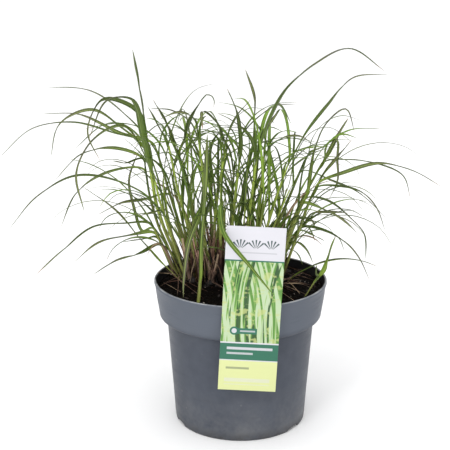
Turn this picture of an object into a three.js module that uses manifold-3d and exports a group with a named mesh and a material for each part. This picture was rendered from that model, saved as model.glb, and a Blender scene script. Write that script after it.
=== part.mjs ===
// A dwarf porcupine grass in its nursery pot, in millimetres, +Z up.
// The origin is on the pot's axis, in the plane the pot stands on; -Y is the side with the label.
import * as THREE from 'three';
import { mergeVertices } from 'three/addons/utils/BufferGeometryUtils.js';
import Module from 'manifold-3d';

const wasm = await Module();
wasm.setup();

// Driving dimensions
const GAP = 0.4;              // clearance kept between pieces that touch
const SOIL_GAP = 0.6;         // the compost's clearance at the pot wall, measured level
const AROUND = 40;            // steps round the pot

const POT_HEIGHT = 162;
const RIM_RADIUS = 95;
const COLLAR_FOOT_RADIUS = 89.5;
const COLLAR_FOOT_HEIGHT = 124;
const BODY_TOP_RADIUS = 81;
const BODY_TOP_HEIGHT = 117;
const FOOT_RADIUS = 73;
const WALL = 2;
const FLOOR = 2.5;

const SOIL_EDGE = 152;        // level at the pot wall
const SOIL_CROWN = 4;         // how much the middle stands higher
const SOIL_BUMP = 0.8;
const SOIL_LEVEL = 155;       // level at which the shoots are placed

const CARD = { width: 60, height: 177, thickness: 0.9, x: 10, back: -95.5, z: 158.75, tilt: 3 };
const TONGUE = { width: 20, thickness: 0.9, x: -10, reach: 6.2, slant: 3.6, depth: 34 };

const NOTCHES = { count: 3, first: 204, across: 24, into: 16, height: 9.2 };
const DRAINS = { count: 6, radius: 5, ring: 46 };

const FOOT_DEPTH = 22;        // how deep a shoot stands in the compost
const NECK_HEIGHT = 9;        // straight length above the compost
const STEM_THINNING = 0.5;    // how much thinner a stem is at its top
const LEAF_THICKNESS = 0.9;
const LEAF_EDGE = 0.6;        // thickness where a leaf is narrow
const LEAF_STEP = 25;         // length of a leaf between its rings
const LEAF_ROOT = 7;          // length over which a leaf is sunk in its stem, and then follows it
const LEAF_STANDOFF = 0.8;    // how far it stands out where it leaves
const LEAF_CLEAR = 0.4;       // free space kept between leaves of different shoots
const ATTEMPTS = 24;
const WELDS = [0.001, 0.002, 0.004];  // corners this close have to count as one without harm

// The inner leaves: ranges that their draws come from, in degrees, millimetres and shares
const INNER = {
  top: 352,                   // level that they reach for
  apart: 137.5,               // from each leaf's heading to the next
  stray: [-25, 25],
  startLean: [6, 20],
  endLean: [60, 125],
  frontLean: -40,             // less far over towards the label
  backLean: 20,
  lowest: 0.45,               // share of the stem where the first one starts
  slip: [0, 0.08],
  width: [2.2, 4.5],
  turn: [-60, 60],
  length: [0.95, 1.45],
  frontReach: -0.2,
  backReach: 0.2,
  pieces: 4,
  bend: 1.5,                  // above 1 the leaf bends mostly near its tip
};

const POT_FINISH = { color: 0x5c6067, roughness: 0.5 };
const SOIL_FINISH = { color: 0x1f1713, roughness: 0.95 };
const CARD_FINISH = { color: 0xe9eee2, roughness: 0.3 };
const LEAF_FINISHES = [0x5d8a32, 0x4d7a2e, 0x6f9a3c].map((color) => ({ color, roughness: 0.6 }));
const DRY_FINISH = { color: 0x9a7358, roughness: 0.9 };

// Each shoot: where it stands [x, y], its radius, the places its stem passes, and how many leaves
// the rule for the inner leaves adds.
const SHOOTS = [
  { at: [-70, 48], radius: 2.2, stem: [[-93, 46, 209], [-102, 44, 245], [-106, 42, 280]], inner: 1 },
  { at: [-64, 36], radius: 2.6, stem: [[-84, 35, 204], [-94, 33, 238], [-102, 30, 300]], inner: 1 },
  { at: [-62, 22], radius: 2.4, stem: [[-78, 20, 208], [-88, 17, 242], [-95, 14, 275]], inner: 2 },
  { at: [-74, 28], radius: 1.8, stem: [[-86, 26, 187], [-96, 24, 211]], inner: 0 },
  { at: [-52, 40], radius: 2.4, stem: [[-68, 38, 211], [-78, 36, 247], [-92, 33, 298]], inner: 2 },
  { at: [-46, 26], radius: 2.4, stem: [[-60, 24, 221], [-69, 22, 256], [-78, 19, 306]], inner: 3 },
  { at: [-40, 44], radius: 2.4, stem: [[-52, 44, 221], [-58, 43, 260], [-68, 42, 291]], inner: 3 },
  { at: [-34, 18], radius: 2.4, stem: [[-41, 16, 218], [-40, 14, 263], [-45, 12, 314]], inner: 3 },
  { at: [-45, -58], radius: 2.6, stem: [[-41, -56, 200], [-39, -52, 247]], inner: 0 },
  { at: [-26, 34], radius: 2.4, stem: [[-29, 34, 213], [-24, 34, 259], [-16, 34, 296]], inner: 4 },
  { at: [-22, 8], radius: 2.4, stem: [[-22, 6, 217], [-21, 4, 260], [-19, 2, 294]], inner: 4 },
  { at: [-12, 24], radius: 2.4, stem: [[-9, 24, 215], [-5, 24, 255], [-1, 24, 289]], inner: 4 },
  { at: [-6, 42], radius: 2.2, stem: [[0, 42, 214], [5, 42, 251], [11, 43, 291]], inner: 3 },
  { at: [2, 12], radius: 2.4, stem: [[8, 10, 219], [13, 8, 259], [17, 6, 295]], inner: 3 },
  { at: [10, 32], radius: 2.4, stem: [[19, 32, 213], [23, 32, 253], [26, 32, 293]], inner: 4 },
  { at: [20, 18], radius: 2.2, stem: [[30, 16, 218], [41, 13, 256], [51, 10, 287]], inner: 4 },
  { at: [26, 40], radius: 2.4, stem: [[42, 42, 210], [56, 45, 244], [72, 48, 284]], inner: 3 },
  { at: [34, 26], radius: 2.4, stem: [[54, 25, 207], [65, 23, 239], [89, 20, 287]], inner: 2 },
  { at: [38, 8], radius: 2.2, stem: [[55, 6, 212], [62, 5, 231], [68, 3, 249]], inner: 2 },
  { at: [46, 16], radius: 2.2, stem: [[64, 14, 211], [73, 12, 241], [81, 9, 261]], inner: 1 },
  { at: [42, 38], radius: 1.8, stem: [[59, 39, 194], [68, 41, 207]], inner: 0 },
  { at: [70, -38], radius: 1.4, stem: [[77, -37, 167], [82, -36, 174]], inner: 0 },
  { at: [-66, 8], radius: 1.3, stem: [[-75, 8, 164], [-82, 9, 172]], inner: 0 },
  { at: [-30, 54], radius: 2.3, stem: [[-33, 62, 215], [-36, 72, 270]], inner: 5 },
  { at: [-12, 58], radius: 2.3, stem: [[-10, 66, 215], [-6, 78, 275]], inner: 5 },
  { at: [10, 54], radius: 2.3, stem: [[14, 63, 215], [20, 75, 270]], inner: 5 },
  { at: [-54, 56], radius: 2.3, stem: [[-66, 64, 210], [-76, 72, 255]], inner: 4 },
  { at: [30, 56], radius: 2.2, stem: [[42, 64, 205], [54, 73, 245]], inner: 4 },
  { at: [16, -2], radius: 2.2, stem: [[20, -7, 210], [24, -13, 250]], inner: 4 },
  { at: [-44, 6], radius: 2.2, stem: [[-50, 1, 210], [-54, -5, 255]], inner: 3 },
];

const OUTER_SHIFT = 6;        // each attempt moves an outer leaf's tip by this much more
const OUTER_TURN = 65;        // how far its base faces aside, in degrees

// The leaves that give the plant its outline: shoot number, how far up its stem the leaf starts,
// the leaf's width, and the places it passes, with its tip last.
const OUTER_LEAVES = [
  [1, 1.00, 2.5, [-140, 60, 295], [-180, 75, 285], [-215, 95, 250]],
  [1, 1.00, 3.0, [-125, 25, 285], [-140, 10, 290]],
  [1, 0.90, 2.5, [-150, 70, 265], [-190, 95, 235], [-215, 120, 185]],
  [1, 0.65, 4.0, [-140, 50, 260], [-185, 50, 265], [-230, 55, 240], [-265, 60, 200]],
  [2, 1.00, 4.5, [-105, 25, 340], [-110, 25, 375], [-115, 20, 410]],
  [2, 1.00, 2.5, [-140, 45, 315], [-185, 55, 325], [-235, 70, 315], [-275, 80, 280]],
  [2, 0.95, 3.5, [-130, 25, 325], [-160, 20, 345], [-195, 15, 330], [-205, 10, 295]],
  [2, 0.90, 3.5, [-110, 10, 345], [-145, -5, 360], [-160, -20, 330], [-145, -40, 300]],
  [2, 0.85, 3.5, [-125, 5, 330], [-155, -20, 320], [-170, -45, 290], [-160, -70, 255]],
  [3, 1.00, 5.5, [-105, 5, 320], [-115, -5, 360], [-140, -10, 360], [-160, -20, 320]],
  [3, 0.60, 2.0, [-95, 5, 235], [-110, -10, 235]],
  [4, 1.00, 3.5, [-125, 15, 220], [-160, 0, 220], [-190, -15, 200], [-220, -30, 175]],
  [4, 0.80, 3.0, [-125, 35, 200], [-160, 40, 190], [-190, 45, 165]],
  [4, 0.70, 3.0, [-110, 20, 200], [-130, 10, 200]],
  [4, 0.90, 2.0, [-110, 35, 205], [-120, 45, 230], [-125, 50, 260], [-115, 60, 290]],
  [4, 0.55, 3.5, [-110, 0, 190], [-135, -30, 190], [-155, -60, 185]],
  [5, 1.00, 2.5, [-135, 70, 310], [-185, 105, 325], [-235, 140, 320]],
  [5, 0.95, 2.5, [-125, 60, 330], [-170, 90, 355], [-225, 120, 355]],
  [5, 0.60, 3.0, [-105, 25, 245], [-130, 10, 245], [-155, 0, 235]],
  [6, 1.00, 3.5, [-90, 15, 330], [-100, 10, 350]],
  [7, 1.00, 4.5, [-80, 35, 325], [-95, 30, 355]],
  [7, 0.95, 4.0, [-60, 25, 315], [-55, 5, 335], [-45, -10, 355], [-40, -30, 365]],
  [8, 1.00, 3.0, [-50, -5, 340], [-65, -25, 350], [-85, -40, 345]],
  [8, 0.95, 3.0, [-55, 30, 330], [-75, 45, 340], [-100, 60, 340]],
  [8, 0.50, 4.0, [-45, -15, 235], [-55, -50, 215], [-60, -72, 180], [-60, -78, 166]],
  [9, 0.20, 8.0, [-42, -60, 215], [-38, -55, 260], [-36, -50, 300], [-35, -45, 332]],
  [10, 1.00, 5.0, [-20, 15, 315], [-25, -5, 335], [-40, -20, 350], [-40, -40, 335]],
  [11, 1.00, 2.5, [-15, -10, 320], [-5, -20, 345], [10, -30, 365]],
  [11, 0.55, 4.5, [-22, -50, 255], [-16, -102, 240], [8, -112, 212], [32, -112, 182]],
  [12, 1.00, 3.0, [0, 20, 315], [-5, 15, 345], [-15, 10, 370]],
  [12, 0.95, 2.5, [0, 40, 310], [20, 60, 330], [40, 75, 340], [65, 90, 340]],
  [13, 1.00, 3.5, [15, 45, 325], [15, 50, 355], [5, 50, 385]],
  [14, 1.00, 4.0, [30, 10, 335], [50, 15, 370], [80, 20, 395], [115, 25, 410], [155, 30, 385]],
  [14, 0.95, 2.5, [10, -5, 320], [-10, -15, 340], [-25, -30, 350]],
  [15, 1.00, 3.5, [30, 45, 320], [45, 60, 340]],
  [15, 0.95, 2.5, [40, 5, 315], [60, -25, 325], [75, -50, 320]],
  [16, 1.00, 2.5, [70, 0, 325], [90, -10, 355], [115, -20, 385], [150, -30, 390]],
  [17, 1.00, 2.5, [90, 40, 300], [105, 30, 310], [105, 20, 290], [105, 10, 270], [95, 0, 250]],
  [17, 0.85, 2.0, [105, 70, 255], [140, 90, 235], [175, 110, 200]],
  [18, 1.00, 3.5, [105, 35, 310], [120, 50, 330]],
  [18, 0.95, 2.5, [120, 45, 285], [155, 70, 275], [190, 95, 255], [205, 120, 220]],
  [19, 1.00, 4.0, [75, 0, 280], [80, 0, 310], [90, -5, 335], [110, -5, 350], [120, -10, 325]],
  [19, 0.95, 2.5, [95, 20, 245], [120, 30, 225], [140, 45, 200], [145, 60, 165]],
  [19, 0.90, 2.5, [85, -15, 245], [105, -40, 240], [120, -60, 230]],
  [19, 0.70, 2.0, [75, -5, 230], [80, -20, 225]],
  [20, 1.00, 3.0, [110, 20, 275], [150, 25, 285], [190, 35, 275], [225, 40, 255]],
  [20, 0.95, 2.5, [105, -5, 265], [130, -20, 260], [145, -35, 245], [155, -50, 220]],
  [20, 0.90, 3.5, [90, 0, 275], [105, -15, 295], [120, -30, 315]],
  [20, 0.85, 2.5, [85, -20, 265], [85, -50, 260], [85, -80, 255]],
  [21, 1.00, 3.0, [80, 35, 225], [100, 25, 230], [120, 20, 230]],
  [21, 0.90, 3.0, [90, 25, 210], [115, 10, 200], [130, -5, 185], [140, -20, 165]],
  [21, 0.80, 2.5, [80, 60, 195], [100, 80, 180]],
  [22, 1.00, 3.5, [90, -35, 185], [95, -35, 205], [100, -35, 220]],
  [22, 0.80, 2.0, [80, -42, 180], [80, -42, 190]],
  [23, 1.00, 2.0, [-110, 5, 205], [-135, -5, 240], [-170, -15, 270]],
];

// Last year's growth: where each piece of rootstock sits, and which way its straws lie
const ROOTSTOCKS = [
  { at: [-54, 10], stubs: 4, straws: [190, 215] },
  { at: [-33, 0], stubs: 4, straws: [-60] },
  { at: [-12, -6], stubs: 4, straws: [-100] },
  { at: [-36, 32], stubs: 3, straws: [] },
  { at: [32, -6], stubs: 3, straws: [-50, -20, 5, 20] },
  { at: [-22, 20], stubs: 4, straws: [] },
  { at: [-8, 10], stubs: 3, straws: [] },
  { at: [-2, 31], stubs: 3, straws: [] },
];
const ROOTSTOCK_SIZE = [5.5, 5, 6];
const ROOTSTOCK_HEIGHT = 154;
const STUB = { lean: [4, 16], height: [22, 62], radius: [1.3, 2.2], top: 0.85 };
const STRAW = { length: [32, 50], stray: [-8, 8], width: 2.2, lift: 2.1, arch: 5 };

const UP = new THREE.Vector3(0, 0, 1);
const vector = ([x, y, z]) => new THREE.Vector3(x, y, z);
const radians = THREE.MathUtils.degToRad;

// The direction that leans from upright towards a heading, both in radians
function leaning(lean, heading) {
  const level = new THREE.Vector3(Math.cos(heading), Math.sin(heading), 0);
  return level.multiplyScalar(Math.sin(lean)).setZ(Math.cos(lean));
}

// Seeded draws, the same on every run: between 0 and 1, or within a range
function draws(seed) {
  let state = seed >>> 0;
  return ([low, high] = [0, 1]) => {
    state = (state + 0x6d2b79f5) >>> 0;
    let mixed = Math.imul(state ^ (state >>> 15), 1 | state);
    mixed = (mixed + Math.imul(mixed ^ (mixed >>> 7), 61 | mixed)) ^ mixed;
    return low + ((high - low) * ((mixed ^ (mixed >>> 14)) >>> 0)) / 2 ** 32;
  };
}

function solidOf(geometry) {
  const bare = geometry.clone();
  bare.deleteAttribute('normal');
  bare.deleteAttribute('uv');
  const merged = mergeVertices(bare, 1e-4);
  return new wasm.Manifold(new wasm.Mesh({
    numProp: 3,
    vertProperties: new Float32Array(merged.attributes.position.array),
    triVerts: new Uint32Array(merged.index.array),
  }));
}

function meshOf(name, solid, finish) {
  const { vertProperties, triVerts } = solid.getMesh();
  const geometry = new THREE.BufferGeometry();
  geometry.setAttribute('position', new THREE.BufferAttribute(vertProperties, 3));
  geometry.setIndex(new THREE.BufferAttribute(triVerts, 1));
  geometry.computeVertexNormals();
  const mesh = new THREE.Mesh(geometry, new THREE.MeshStandardMaterial(finish));
  mesh.name = name;
  return mesh;
}

// Whether a four-sided face is split from its second corner, which is where it bulges outwards
function bulgesAtSecond(first, second, third, fourth) {
  const outward = third.clone().sub(first).cross(fourth.clone().sub(second));
  return outward.dot(second.clone().sub(first)) > 0;
}

// A closed body through rings of the same number of corners, each ring counter-clockwise seen
// from the far end. A last ring of one corner makes a point.
function loft(rings) {
  const corners = rings[0].length;
  const places = rings.flat();
  const faces = [];
  for (let ring = 0; ring < rings.length - 1; ring += 1) {
    const here = ring * corners;
    const there = here + corners;
    for (let corner = 0; corner < corners; corner += 1) {
      const next = (corner + 1) % corners;
      const [a, b, c, d] = [here + corner, here + next, there + next, there + corner];
      if (rings[ring + 1].length === 1) {
        faces.push(a, b, there);
      } else if (bulgesAtSecond(places[a], places[b], places[c], places[d])) {
        faces.push(a, b, d, b, c, d);
      } else {
        faces.push(a, b, c, a, c, d);
      }
    }
  }
  const last = (rings.length - 1) * corners;
  for (let corner = 1; corner < corners - 1; corner += 1) {
    faces.push(0, corner + 1, corner);
    if (rings.at(-1).length > 1) faces.push(last, last + corner, last + corner + 1);
  }
  const geometry = new THREE.BufferGeometry().setFromPoints(places);
  geometry.setIndex(faces);
  return solidOf(geometry);
}

// A ring of corners round a stem at one place, square to its direction
function stemRing(centre, direction, radius, corners = 6) {
  const side = new THREE.Vector3(0, 1, 0).cross(direction).normalize();
  const front = direction.clone().cross(side);
  return Array.from({ length: corners }, (_, corner) => {
    const angle = (2 * Math.PI * corner) / corners;
    return centre.clone()
      .addScaledVector(side, radius * Math.cos(angle))
      .addScaledVector(front, radius * Math.sin(angle));
  });
}

// The pot wall's inner line as [radius, level], or a line that stays clear of it by an offset
function insideWall(offset = 0) {
  const inside = (radius) => radius - WALL - offset;
  return [
    [inside(FOOT_RADIUS) + 0.3, FLOOR + offset],
    [inside(BODY_TOP_RADIUS), BODY_TOP_HEIGHT + 1],
    [inside(BODY_TOP_RADIUS) + 5, COLLAR_FOOT_HEIGHT - 3.2],
    [inside(COLLAR_FOOT_RADIUS), COLLAR_FOOT_HEIGHT + 1],
    [inside(RIM_RADIUS) - 0.4, POT_HEIGHT - 2],
  ];
}

function pot() {
  const outside = [
    [0, 0], [FOOT_RADIUS - 2, 0], [FOOT_RADIUS - 0.4, 1.2], [FOOT_RADIUS, 7],
    [BODY_TOP_RADIUS, BODY_TOP_HEIGHT], [BODY_TOP_RADIUS + 2.2, BODY_TOP_HEIGHT + 2.2],
    [COLLAR_FOOT_RADIUS - 2.4, COLLAR_FOOT_HEIGHT - 3.4],
    [COLLAR_FOOT_RADIUS - 0.5, COLLAR_FOOT_HEIGHT - 1.6],
    [COLLAR_FOOT_RADIUS, COLLAR_FOOT_HEIGHT], [RIM_RADIUS - 0.9, POT_HEIGHT - 4],
    [RIM_RADIUS, POT_HEIGHT - 2.5], [RIM_RADIUS, POT_HEIGHT - 0.7], [RIM_RADIUS - 0.7, POT_HEIGHT],
    [RIM_RADIUS - 2.6, POT_HEIGHT],
  ];
  const profile = [...outside, ...insideWall().reverse(), [0, FLOOR]];
  const lathe = new THREE.LatheGeometry(profile.map(([r, z]) => new THREE.Vector2(r, z)), AROUND);
  let solid = solidOf(lathe.rotateX(Math.PI / 2));
  for (let notch = 0; notch < NOTCHES.count; notch += 1) {
    const box = new THREE.BoxGeometry(NOTCHES.into, NOTCHES.across, NOTCHES.height);
    box.translate(FOOT_RADIUS - 1, 0, -0.2);
    solid = solid.subtract(solidOf(box.rotateZ(radians(NOTCHES.first + (notch * 360) / NOTCHES.count))));
  }
  for (let drain = 0; drain < DRAINS.count; drain += 1) {
    const hole = new THREE.CylinderGeometry(DRAINS.radius, DRAINS.radius, 4 * FLOOR, 12);
    hole.rotateX(Math.PI / 2).translate(DRAINS.ring, 0, 0);
    solid = solid.subtract(solidOf(hole.rotateZ(radians((drain * 360) / DRAINS.count))));
  }
  return solid;
}

// The compost's level at a place: a low dome with a few waves
function soilLevel(x, y) {
  const out = Math.min(1, Math.hypot(x, y) / (RIM_RADIUS - WALL));
  const waves = Math.sin(x / 9 + 1) * Math.cos(y / 7) + 0.5 * Math.sin(x / 4 - y / 5);
  return SOIL_EDGE + SOIL_CROWN * (1 - out * out) + SOIL_BUMP * waves * (1 - out ** 6);
}

function soil() {
  const [floor, ...wall] = insideWall(SOIL_GAP);
  const [lower, upper] = [wall[2], wall[3]];
  const share = (SOIL_EDGE - lower[1]) / (upper[1] - lower[1]);
  const edge = lower[0] + share * (upper[0] - lower[0]);
  const rounds = [76, 60, 45, 30, 15];
  const top = [edge, ...rounds, 0].map((radius) => [radius, SOIL_EDGE]);
  const profile = [[0, floor[1]], floor, ...wall.slice(0, 3), ...top];
  const lathe = new THREE.LatheGeometry(profile.map(([r, z]) => new THREE.Vector2(r, z)), AROUND);
  lathe.rotateX(Math.PI / 2);
  const places = lathe.attributes.position;
  for (let i = 0; i < places.count; i += 1) {
    if (places.getZ(i) > SOIL_EDGE - 0.01) places.setZ(i, soilLevel(places.getX(i), places.getY(i)));
  }
  return solidOf(lathe);
}

// Tilts what is made upright round the card's middle, and puts it at the card's place
const tiltedWithCard = (geometry) => geometry.rotateY(radians(CARD.tilt)).translate(CARD.x, 0, CARD.z);

// A strip of the tongue's width, from its side view as [y, z] corners
function tongueStrip(corners, width) {
  const shape = new THREE.Shape(corners.map(([y, z]) => new THREE.Vector2(y, z)));
  const strip = new THREE.ExtrudeGeometry(shape, { depth: width, bevelEnabled: false });
  strip.translate(0, 0, -width / 2).rotateX(Math.PI / 2).rotateZ(Math.PI / 2);
  return solidOf(tiltedWithCard(strip.translate(TONGUE.x, 0, -CARD.z)));
}

const tongueTop = POT_HEIGHT + GAP;
const tongueInside = CARD.back + TONGUE.reach;

// The tongue leaves the card's back, passes over the rim and goes down inside the pot wall
function tongue() {
  return tongueStrip([
    [CARD.back - 0.5, tongueTop], [tongueInside - TONGUE.thickness, tongueTop],
    [tongueInside + TONGUE.slant - TONGUE.thickness, tongueTop - TONGUE.depth],
    [tongueInside + TONGUE.slant, tongueTop - TONGUE.depth],
    [tongueInside, tongueTop + TONGUE.thickness], [CARD.back - 0.5, tongueTop + TONGUE.thickness],
  ], TONGUE.width);
}

// The slot for it in the compost, open towards the wall
function tongueSlot() {
  return tongueStrip([
    [CARD.back, tongueTop - TONGUE.depth - GAP],
    [tongueInside + TONGUE.slant + GAP, tongueTop - TONGUE.depth - GAP],
    [tongueInside + GAP, tongueTop], [CARD.back, tongueTop],
  ], TONGUE.width + 2 * GAP);
}

function label() {
  const card = new THREE.BoxGeometry(CARD.width, CARD.thickness, CARD.height);
  card.translate(0, CARD.back - CARD.thickness / 2, 0);
  return solidOf(tiltedWithCard(card)).add(tongue());
}

// A stem as its points from the foot upwards, with the way along it measured from the compost
function stemLine(shoot) {
  const base = vector([...shoot.at, SOIL_LEVEL]);
  const places = shoot.stem.map(vector);
  const start = places[0].clone().sub(base).normalize();
  const foot = base.clone().addScaledVector(start, -FOOT_DEPTH);
  const neck = base.clone().addScaledVector(start, NECK_HEIGHT);
  return { base, start, places, line: [foot, neck, ...places] };
}

function alongStem(shoot, distance) {
  const { base, places } = stemLine(shoot);
  const line = [base, ...places];
  let piece = 0;
  let left = distance;
  while (piece < line.length - 2 && left > line[piece].distanceTo(line[piece + 1])) {
    left -= line[piece].distanceTo(line[piece + 1]);
    piece += 1;
  }
  const step = line[piece + 1].clone().sub(line[piece]);
  return line[piece].clone().addScaledVector(step.normalize(), left);
}

function stemLength(shoot) {
  const { base, places } = stemLine(shoot);
  return places.reduce((sum, place, i) => sum + place.distanceTo(i ? places[i - 1] : base), 0);
}

function stemRings(shoot, grow = 0) {
  const { line, start } = stemLine(shoot);
  return line.map((place, i) => {
    const before = line[Math.max(0, i - 1)];
    const after = line[Math.min(line.length - 1, i + 1)];
    const direction = i < 2 ? start : after.clone().sub(before).normalize();
    const taper = i < 2 ? 1 : 1 - (STEM_THINNING * (i - 1)) / (line.length - 2);
    return stemRing(place, direction, shoot.radius * taper + grow);
  });
}

// The hole a shoot stands in: its foot, grown by the clearance
function stemHole(shoot) {
  const { start } = stemLine(shoot);
  const [foot, neck] = stemRings(shoot, GAP);
  foot.forEach((corner) => corner.addScaledVector(start, -GAP));
  return loft([foot, neck]);
}

// A leaf starts inside its stem, follows it for a little, and then passes its places
function leafCurve(shoot, along, places) {
  const distance = along * stemLength(shoot);
  const root = alongStem(shoot, distance - LEAF_ROOT);
  const leaving = alongStem(shoot, distance + LEAF_ROOT);
  const outward = places[0].clone().sub(leaving).setZ(0).normalize();
  leaving.addScaledVector(outward, 0.5 * shoot.radius + LEAF_STANDOFF);
  return new THREE.CatmullRomCurve3([root, leaving, ...places], false, 'centripetal');
}

// A leaf is a little narrower at its base and draws in to its tip
function leafWidth(width, along) {
  return width * (0.7 + 0.3 * Math.min(1, along / 0.2)) * (1 - along ** 2.5) ** 0.75;
}

// A leaf blade: a thin keeled strip that turns its face as it rises and ends in a point
function leafSolid(curve, width, turn) {
  const steps = THREE.MathUtils.clamp(Math.round(curve.getLength() / LEAF_STEP), 4, 12);
  const end = curve.getPoint(1).sub(curve.getPoint(0));
  let side = UP.clone().cross(end).normalize();
  const rings = [];
  for (let step = 0; step < steps; step += 1) {
    const along = step / steps;
    const centre = curve.getPointAt(along);
    const direction = curve.getTangentAt(along);
    side = side.clone().addScaledVector(direction, -side.dot(direction)).normalize();
    const across = side.clone().applyAxisAngle(direction, radians(turn) * (1 - along) ** 1.5);
    const upper = direction.clone().cross(across);
    const half = leafWidth(width, along) / 2;
    const thickness = Math.min(LEAF_THICKNESS, LEAF_EDGE + 0.3 * half);
    rings.push([
      centre.clone().addScaledVector(across, half),
      centre.clone().addScaledVector(across, -half),
      centre.clone().addScaledVector(upper, -thickness),
    ]);
  }
  rings.push([curve.getPoint(1)]);
  return loft(rings);
}

// An inner leaf, by a rule with seeded draws. The leaves spread evenly round the clump, stay
// upright towards the label and arch further over at the back.
function innerLeaf(shootNumber, leafNumber, attempt) {
  const draw = draws(shootNumber * 7919 + leafNumber * 104729 + attempt * 15485863);
  const shoot = SHOOTS[shootNumber];
  const heading = radians(INNER.apart * (3 * shootNumber + leafNumber) + draw(INNER.stray));
  const front = Math.max(0, -Math.sin(heading));
  const back = Math.max(0, Math.sin(heading));
  const startLean = draw(INNER.startLean);
  const endLean = draw(INNER.endLean) + INNER.frontLean * front + INNER.backLean * back;
  const upwards = leafNumber / Math.max(1, shoot.inner - 1);
  const along = INNER.lowest + (1 - INNER.lowest) * upwards - draw(INNER.slip);
  const width = draw(INNER.width);
  const turn = draw(INNER.turn);
  const place = alongStem(shoot, along * stemLength(shoot) + LEAF_ROOT);
  const reach = 1 + INNER.frontReach * front + INNER.backReach * back;
  const length = (INNER.top - place.z) * draw(INNER.length) * reach;
  const places = [];
  for (let piece = 0; piece < INNER.pieces; piece += 1) {
    const share = ((piece + 0.5) / INNER.pieces) ** INNER.bend;
    const lean = radians(startLean + (endLean - startLean) * share);
    place.addScaledVector(leaning(lean, heading), length / INNER.pieces);
    places.push(place.clone());
  }
  return leafSolid(leafCurve(shoot, along, places), width, turn);
}

// An outer leaf as listed, or moved nearer or further by a few millimetres at its tip
function outerLeaf(leafNumber, attempt) {
  const [shootNumber, along, width, ...listed] = OUTER_LEAVES[leafNumber];
  const shift = OUTER_SHIFT * Math.ceil(attempt / 2) * (attempt % 2 ? 1 : -1);
  const places = listed.map(vector);
  places.forEach((place, i) => { place.y += (shift * (i + 1)) / places.length; });
  const turn = leafNumber % 2 ? OUTER_TURN : -OUTER_TURN;
  return leafSolid(leafCurve(SHOOTS[shootNumber - 1], along, places), width, turn);
}

function boxesMeet(one, other, clear) {
  const a = one.boundingBox();
  const b = other.boundingBox();
  return [0, 1, 2].every((axis) => a.min[axis] < b.max[axis] + clear && b.min[axis] < a.max[axis] + clear);
}

function isClear(solid, others) {
  const near = others.filter((other) => boxesMeet(solid, other, LEAF_CLEAR));
  return near.every((other) => solid.minGap(other, 1) >= LEAF_CLEAR);
}

// Whether a solid stays one closed body when corners that nearly coincide are welded
function weldsCleanly(solid, distance) {
  const { vertProperties, triVerts } = solid.getMesh();
  const welded = new Map();
  const corner = (index) => {
    const place = vertProperties.subarray(3 * index, 3 * index + 3);
    const key = Array.from(place, (value) => Math.round(value / distance)).join();
    if (!welded.has(key)) welded.set(key, welded.size);
    return welded.get(key);
  };
  const edges = new Set();
  for (let face = 0; face < triVerts.length; face += 3) {
    const [a, b, c] = Array.from(triVerts.subarray(face, face + 3), corner);
    if (a === b || b === c || c === a) return false;
    for (const [from, to] of [[a, b], [b, c], [c, a]]) {
      if (edges.has(`${from} ${to}`)) return false;
      edges.add(`${from} ${to}`);
    }
  }
  return true;
}

function isSound(solid) {
  return solid.decompose().length === 1 && WELDS.every((distance) => weldsCleanly(solid, distance));
}

const join = (parts) => parts.reduce((whole, part) => whole.add(part));

// The first attempt that is clear of every other node and joins soundly to its own, or nothing
function firstSound(make, own, others) {
  for (let attempt = 0; attempt < ATTEMPTS; attempt += 1) {
    const solid = make(attempt);
    if (isClear(solid, others) && isSound(join([...own, solid]))) return solid;
  }
  return null;
}

// A piece of rootstock with last year's cut stubs on it and straws that lie over the compost
function rootstock(number, grow = 0) {
  const size = ROOTSTOCK_SIZE.map((radius) => radius + grow);
  const lump = new THREE.SphereGeometry(1, 7, 4).rotateX(Math.PI / 2).scale(...size);
  return solidOf(lump.translate(...ROOTSTOCKS[number].at, ROOTSTOCK_HEIGHT));
}

function stub(number, index, attempt) {
  const draw = draws(number * 4099 + index * 131 + attempt * 7);
  const [x, y] = ROOTSTOCKS[number].at;
  const angle = draw([0, 2 * Math.PI]);
  const base = new THREE.Vector3(x + 2.5 * Math.cos(angle), y + 2 * Math.sin(angle), ROOTSTOCK_HEIGHT + 2);
  const direction = leaning(radians(draw(STUB.lean)), angle);
  const height = draw(STUB.height);
  const radius = draw(STUB.radius);
  const top = base.clone().addScaledVector(direction, height);
  return loft([stemRing(base, direction, radius, 5), stemRing(top, direction, STUB.top * radius, 5)]);
}

function straw(number, heading, attempt) {
  const draw = draws(number * 977 + (heading + 360) * 13 + attempt * 31);
  const [x, y] = ROOTSTOCKS[number].at;
  const length = draw(STRAW.length);
  const angle = radians(heading + draw(STRAW.stray) + 4 * attempt * (attempt % 2 ? 1 : -1));
  const places = [0, 0.35, 0.7, 1].map((along) => {
    const place = new THREE.Vector3(x, y, 0).addScaledVector(leaning(Math.PI / 2, angle), along * length);
    const arch = STRAW.arch * Math.sin(Math.PI * along) * draw();
    place.z = soilLevel(place.x, place.y) + STRAW.lift + arch;
    return place;
  });
  return leafSolid(new THREE.CatmullRomCurve3(places, false, 'centripetal'), STRAW.width, 0);
}

const potSolid = pot();
const labelSolid = label();
let soilSolid = soil().subtract(tongueSlot());
SHOOTS.forEach((shoot) => { soilSolid = soilSolid.subtract(stemHole(shoot)); });
ROOTSTOCKS.forEach((_, number) => { soilSolid = soilSolid.subtract(rootstock(number, GAP)); });

// Every plant node is a list of solids that are joined at the end
const fixed = [potSolid, soilSolid, labelSolid];
const shootParts = SHOOTS.map((shoot) => [loft(stemRings(shoot))]);
const dryParts = ROOTSTOCKS.map((_, number) => [rootstock(number)]);

function othersOf(own) {
  const others = [...shootParts, ...dryParts].filter((parts) => parts !== own);
  return [...fixed, ...others.flat()];
}

function grow(parts, make) {
  const solid = firstSound(make, parts, othersOf(parts));
  if (solid) parts.push(solid);
}

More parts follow.
